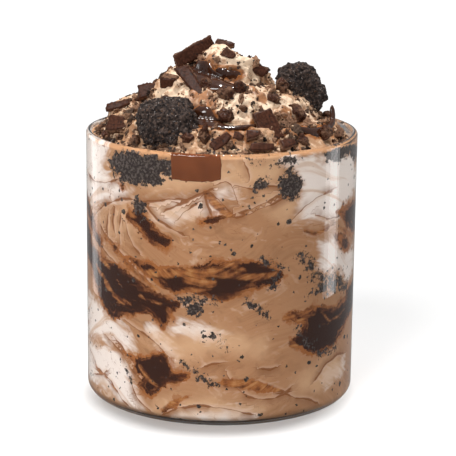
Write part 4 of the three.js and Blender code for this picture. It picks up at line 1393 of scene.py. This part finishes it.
# Nubs that are seen one by one: (x, y, size across, size front to back, height).
SMALL_PIECES = [
    (0.8, -22.9, 4.2, 4, 4.4), (5.4, -20, 3.4, 3.2, 5), (-5.2, -17.8, 3.4, 3.2, 3.6),
    (6.6, -25.8, 3.2, 2.2, 1.8), (16.6, -19.4, 4.4, 3, 3), (-39, -7.5, 2.8, 2.4, 1.8),
    (-38, -13.5, 3, 2.6, 2.6), (-26.8, -29, 3.4, 3, 2.6), (-27.8, -1, 3.4, 2.6, 2),
    (-11, -37, 4, 3.6, 4), (-5.6, -37.4, 4.2, 3.6, 5), (33, -21.4, 4.4, 4, 4.6),
    (26, -29.5, 3.2, 3, 3.4), (37.4, -13.6, 2.8, 2.6, 2.6), (34.4, 2, 3, 2.6, 3.6),
    (13.6, -3, 3.2, 2.6, 2.4), (8.6, -1, 3, 2.4, 2.2), (-18.4, -15.6, 2.6, 2.2, 2.2),
]


class DESSERT_OT_small_nubs(bpy.types.Operator):
    """Sets the small nubs of chocolate that are frozen onto the mound"""

    bl_idname = "dessert.small_nubs"
    bl_label = "Small nubs"

    def execute(self, context):
        samples = mound_samples()
        together = bmesh.new()
        for index, (x, y, *size) in enumerate(SMALL_PIECES):
            level = mound_top(x, y, samples) + 0.2 * size[2]
            place = Matrix.Translation((x, y, level)) @ Matrix.Rotation(1.3 * index, 4, "Z")
            stretch = Matrix.Diagonal((*size, 1))
            bmesh.ops.create_icosphere(together, subdivisions=4, radius=0.5, matrix=place @ stretch)
        bmesh.ops.scale(together, vec=(MM,) * 3, verts=together.verts)
        mesh = bpy.data.meshes.new("small_nubs")
        together.to_mesh(mesh)
        together.free()
        piece = new_object("small_nubs", mesh)
        points, normals = mesh_points(mesh), mesh_normals(mesh)
        blocky = points + 1.1 * noise_at(points, 2.0, 4.6)[:, None] * normals
        move_points(mesh, crumbly(blocky, normals, 0.8))
        set_attribute(piece, "snapped", 0.45 + 0.6 * noise_at(points, 2.0, 1.9))
        finish_piece(piece, bpy.data.materials["dark_chocolate"], "ice_cream")
        return {"FINISHED"}


# ---------------------------------------------------------------------------------------------
# Crumbs
# ---------------------------------------------------------------------------------------------

CRUMB_SHAPES = 5
# Colours from the darkest crumb to the lightest.
CRUMB_COLOURS = {
    "dark": [(0.0, (0.014, 0.009, 0.007)), (0.5, (0.040, 0.024, 0.017)), (1.0, (0.10, 0.058, 0.038))],
    "brown": [(0.0, (0.045, 0.021, 0.013)), (0.45, (0.115, 0.058, 0.034)), (1.0, (0.30, 0.165, 0.098))],
    "tan": [(0.0, (0.30, 0.15, 0.08)), (0.5, (0.52, 0.32, 0.19)), (1.0, (0.78, 0.56, 0.38))],
}
# The kinds: (setting with the largest size, the smallest as a share of it, subdivisions of the balls that
# the crumbs are made from, most in a square metre, colours, slot).
CRUMB_KINDS = {
    "coarse_cookie_crumbs": ("coarse_size", 0.5, 3, 22000, "dark", "cookie"),
    "coarse_chocolate_crumbs": ("coarse_size", 0.5, 3, 90000, "brown", "chocolate"),
    "cookie_crumbs": ("medium_size", 0.42, 2, 110000, "dark", "cookie"),
    "chocolate_crumbs": ("medium_size", 0.42, 2, 420000, "brown", "chocolate"),
    "ice_cream_crumbs": ("medium_size", 0.42, 2, 240000, "tan", "ice_cream"),
    "cookie_dust": ("dust_size", 0.4, 1, 180000, "dark", "cookie"),
    "chocolate_dust": ("dust_size", 0.4, 1, 900000, "brown", "chocolate"),
}
# Added to the seed for each kind after the first.
SEED_STEP = 11


def crumb_tree(subdivisions):
    """Geometry Nodes that strew uneven crumbs where the mesh's litter attribute is high."""
    tree = bpy.data.node_groups.new(f"Strew crumbs {subdivisions}", "GeometryNodeTree")
    sockets = {"Geometry": "Geometry", "Smallest": "Float", "Largest": "Float", "Spacing": "Float"}
    sockets.update({"Most per square metre": "Float", "Seed": "Int", "Material": "Material"})
    for label, kind in sockets.items():
        tree.interface.new_socket(label, in_out="INPUT", socket_type=f"NodeSocket{kind}")
    tree.interface.new_socket("Geometry", in_out="OUTPUT", socket_type="NodeSocketGeometry")
    n, entry = Nodes(tree), tree.nodes.new("NodeGroupInput").outputs
    smallest = Value(n, entry["Smallest"])

    def drawn(kind, low, high):
        """A random number, whole number or vector for each point."""
        first = {"FLOAT_VECTOR": 0, "FLOAT": 2, "INT": 4}[kind]
        inputs = {first: low, first + 1: high, 8: entry["Seed"]}
        return n.out("FunctionNodeRandomValue", inputs, first // 2, data_type=kind)

    shapes = tree.nodes.new("GeometryNodeJoinGeometry")
    for shape in range(CRUMB_SHAPES):
        ball = n.out("GeometryNodeMeshIcoSphere", {"Radius": 0.5, "Subdivisions": subdivisions})
        where = n.out("GeometryNodeInputPosition")
        lumps = n.noise(n.vector("ADD", where, (7.0 * shape, 3.0 * shape, 0)), 1 / 2.6, 3.0)
        push = n.scaled(where, 3.4 * lumps - 1.7)
        moved = n.out("GeometryNodeSetPosition", {"Geometry": ball, "Offset": push})
        single = n.out("GeometryNodeGeometryToInstance", {0: moved})
        tree.links.new(single.socket, shapes.inputs[0])

    litter = n.out("GeometryNodeInputNamedAttribute", {"Name": "litter"}, data_type="FLOAT")
    strewing = {"Mesh": entry["Geometry"], "Distance Min": entry["Spacing"], "Density Factor": litter}
    strewing.update({"Density Max": entry["Most per square metre"], "Seed": entry["Seed"]})
    places = n.out("GeometryNodeDistributePointsOnFaces", strewing, distribute_method="POISSON")
    size = n.math("POWER", drawn("FLOAT", 0.0, 1.0), 2.0) * (entry["Largest"] - smallest) + smallest
    crumb = {"Points": places, "Instance": shapes.outputs[0], "Pick Instance": True}
    crumb["Instance Index"] = drawn("INT", 0, CRUMB_SHAPES - 1)
    crumb["Rotation"] = drawn("FLOAT_VECTOR", (0, 0, 0), (TURN, TURN, TURN))
    crumb["Scale"] = n.scaled(drawn("FLOAT_VECTOR", (0.7, 0.7, 0.55), (1.25, 1.0, 0.95)), size)
    strewn = n.out("GeometryNodeInstanceOnPoints", crumb)
    tone = {"Geometry": strewn, "Name": "tone", "Value": drawn("FLOAT", 0.0, 1.0)}
    toned = n.out("GeometryNodeStoreNamedAttribute", tone, data_type="FLOAT", domain="INSTANCE")
    real = n.out("GeometryNodeRealizeInstances", {0: toned})
    painted = n.out("GeometryNodeSetMaterial", {"Geometry": real, "Material": entry["Material"]})
    n.add("NodeGroupOutput", {0: painted})
    return tree


def set_inputs(modifier, values):
    """Sets a Geometry Nodes modifier's inputs by the identifiers of their sockets."""
    for item in modifier.node_group.interface.items_tree:
        if item.in_out == "INPUT" and item.name in values:
            modifier[item.identifier] = values[item.name]


def litter_surface(sides=260, rings=84):
    """The mound's upper surface, with how thickly each place is strewn."""
    radii = (FILL_RADIUS - 0.7) * (1 - np.arange(rings) / rings)
    radius, angle = np.meshgrid(radii, np.arange(sides) / sides * TURN, indexing="ij")
    points = mound_point(radius, angle).reshape(-1, 3)
    piece = mesh_object("litter_surface", points, band_faces(rings, sides))
    fold = fold_height(radius, angle).ravel()
    bare = 0.75 * smooth(-1.2, 0.8, places_depth(points, BARE_PLACES)) + smooth(-0.8, 0.4, run_depth(points))
    patchy = 0.5 + 1.1 * noise_at(points, 5.5, 7.7) + 0.35 * (1 - fold)
    set_attribute(piece, "litter", np.clip(patchy * (1 - np.clip(bare, 0, 1)), 0.0, 1.0))
    return piece


class DESSERT_OT_crumbs(bpy.types.Operator):
    """Strews cookie and chocolate crumbs over the mound, one mesh for each kind"""

    bl_idname = "dessert.crumbs"
    bl_label = "Crumbs"

    def execute(self, context):
        settings = context.scene.dessert_crumbs
        surface = litter_surface()
        for index, (name, kind) in enumerate(CRUMB_KINDS.items()):
            setting, least, subdivisions, most, colours, slot = kind
            largest = getattr(settings, setting)
            material = crumb_material(f"{name}_finish", CRUMB_COLOURS[colours])
            modifier = surface.modifiers.new("strew", "NODES")
            modifier.node_group = crumb_tree(subdivisions)
            values = {"Smallest": largest * least, "Largest": largest, "Spacing": largest * 0.5}
            values.update({"Most per square metre": float(most), "Material": material})
            set_inputs(modifier, {**values, "Seed": settings.seed + SEED_STEP * index})
            evaluated = surface.evaluated_get(context.evaluated_depsgraph_get())
            mesh = bpy.data.meshes.new_from_object(evaluated)
            surface.modifiers.remove(modifier)
            mesh.name = name
            finish_piece(new_object(name, mesh), material, "ice_cream")
        bpy.data.objects.remove(surface)
        return {"FINISHED"}


# ---------------------------------------------------------------------------------------------
# Stage
# ---------------------------------------------------------------------------------------------

# The camera that the outline of the glass in the photograph was fitted with.
CAMERA_PLACE = (0.0, -0.58007, 0.19765)
CAMERA_PITCH = math.radians(13.84)
CAMERA_YAW = math.radians(0.235)
CAMERA_ROLL = math.radians(0.66)
CAMERA_LENS = 140.07
SENSOR = 36.0
# How far the floor reaches each way, in metres.
FLOOR_REACH = 6.0

# The soft lights: direction towards the light, and how wide it looks in degrees.
SUNS = {"top_light": ((0.01, 0.10, 1.0), 6), "key_light": ((-0.55, -0.85, 0.80), 26)}
# The upright boxes that the glass mirrors: place, width and height in metres, and radiance.
STRIPS = {
    "strip_left": ((-0.133, 0.069), 0.052, 0.12, 0.6),
    "strip_left_core": ((-0.131, 0.072), 0.026, 0.12, 0.7),
    "strip_right": ((0.167, 0.014), 0.053, 0.12, 1.4),
    "strip_right_core": ((0.166, 0.016), 0.028, 0.12, 1.5),
}


def camera_turn():
    """Looking along +Y, turned by the yaw, tipped down by the pitch and rolled."""
    level = Vector((math.sin(CAMERA_YAW), math.cos(CAMERA_YAW), 0))
    ahead = math.cos(CAMERA_PITCH) * level - math.sin(CAMERA_PITCH) * Vector((0, 0, 1))
    right = Vector((math.cos(CAMERA_YAW), -math.sin(CAMERA_YAW), 0))
    above = right.cross(ahead)
    rolled_right = math.cos(CAMERA_ROLL) * right + math.sin(CAMERA_ROLL) * above
    rolled_above = math.cos(CAMERA_ROLL) * above - math.sin(CAMERA_ROLL) * right
    return Matrix((rolled_right, rolled_above, -ahead)).transposed()


def add_light(name, kind, place, target, **settings):
    light = bpy.data.lights.new(name, kind)
    for key, value in settings.items():
        setattr(light, key, value)
    lamp = new_object(name, light)
    lamp.location = place
    lamp.rotation_euler = (Vector(target) - Vector(place)).to_track_quat("-Z", "Y").to_euler()
    lamp.visible_camera = False


def floor_material(settings):
    """A matt floor that glossy things mirror as an even grey."""
    material, n = new_material("pale_floor")
    look = {"Base Color": rgba(settings.floor_colour), "Roughness": 0.9, "Specular IOR Level": 0.0}
    lit = n.out("ShaderNodeBsdfPrincipled", look)
    grey = n.out("ShaderNodeEmission", {0: (1, 1, 1, 1), 1: settings.reflected})
    rays = n.add("ShaderNodeLightPath").outputs
    mirrored = n.math("LESS_THAN", rays["Diffuse Depth"], 0.5) * rays["Is Glossy Ray"]
    seen = n.out("ShaderNodeMixShader", {0: mirrored, 1: lit, 2: grey})
    n.add("ShaderNodeOutputMaterial", {"Surface": seen})
    return material


class DESSERT_OT_stage(bpy.types.Operator):
    """Sets the plain pale floor, the soft studio light and the camera"""

    bl_idname = "dessert.stage"
    bl_label = "Stage"

    def execute(self, context):
        scene = context.scene
        settings = scene.dessert_stage
        scene.view_settings.view_transform = "Standard"
        reach = FLOOR_REACH / MM
        corners = [(-reach, -reach, 0), (reach, -reach, 0), (reach, reach, 0), (-reach, reach, 0)]
        floor = mesh_object("floor", corners, [(0, 1, 2, 3)])
        floor.data.materials.append(floor_material(settings))
        world = bpy.data.worlds.new("soft_white")
        world.use_nodes = True
        background = world.node_tree.nodes["Background"].inputs
        background["Color"].default_value = (1, 1, 1, 1)
        background["Strength"].default_value = settings.world_strength
        scene.world = world
        for name, (way, width) in SUNS.items():
            energy = getattr(settings, name) * math.pi
            add_light(name, "SUN", way, (0, 0, 0), energy=energy, angle=math.radians(width))
        for name, ((x, y), width, height, radiance) in STRIPS.items():
            power = settings.strip_light * radiance * math.pi * width * height
            shape = {"shape": "RECTANGLE", "size": width, "size_y": height, "energy": power}
            add_light(name, "AREA", (x, y, height / 2), (0, 0, height / 2), **shape)
        lens = bpy.data.cameras.new("view")
        lens.sensor_width = SENSOR
        lens.lens = CAMERA_LENS
        scene.camera = new_object("view", lens)
        scene.camera.matrix_world = Matrix.Translation(CAMERA_PLACE) @ camera_turn().to_4x4()
        return {"FINISHED"}


# ---------------------------------------------------------------------------------------------
# Panel, registration and the run
# ---------------------------------------------------------------------------------------------

OPERATORS = (
    DESSERT_OT_stage,
    DESSERT_OT_tumbler,
    DESSERT_OT_ice_cream,
    DESSERT_OT_fudge,
    DESSERT_OT_cookie_chunks,
    DESSERT_OT_chocolate,
    DESSERT_OT_pressed_pieces,
    DESSERT_OT_small_nubs,
    DESSERT_OT_crumbs,
)
SETTINGS = {
    "dessert_tumbler": TumblerSettings,
    "dessert_ice_cream": IceCreamSettings,
    "dessert_toppings": ToppingSettings,
    "dessert_crumbs": CrumbSettings,
    "dessert_stage": StageSettings,
}


class DESSERT_PT_panel(bpy.types.Panel):
    """Lists the pieces of the dessert"""

    bl_idname = "DESSERT_PT_panel"
    bl_label = "Dessert"
    bl_space_type = "VIEW_3D"
    bl_region_type = "UI"
    bl_category = "Dessert"

    def draw(self, context):
        for operator in OPERATORS:
            self.layout.operator(operator.bl_idname)


def register():
    for kind in (*SETTINGS.values(), *OPERATORS, DESSERT_PT_panel):
        bpy.utils.register_class(kind)
    for name, kind in SETTINGS.items():
        setattr(bpy.types.Scene, name, PointerProperty(type=kind))


def unregister():
    for name in SETTINGS:
        delattr(bpy.types.Scene, name)
    for kind in reversed((*SETTINGS.values(), *OPERATORS, DESSERT_PT_panel)):
        bpy.utils.unregister_class(kind)


def main():
    register()
    for operator in OPERATORS:
        getattr(bpy.ops.dessert, operator.bl_idname.split(".")[1])()


if __name__ == "__main__":
    main()
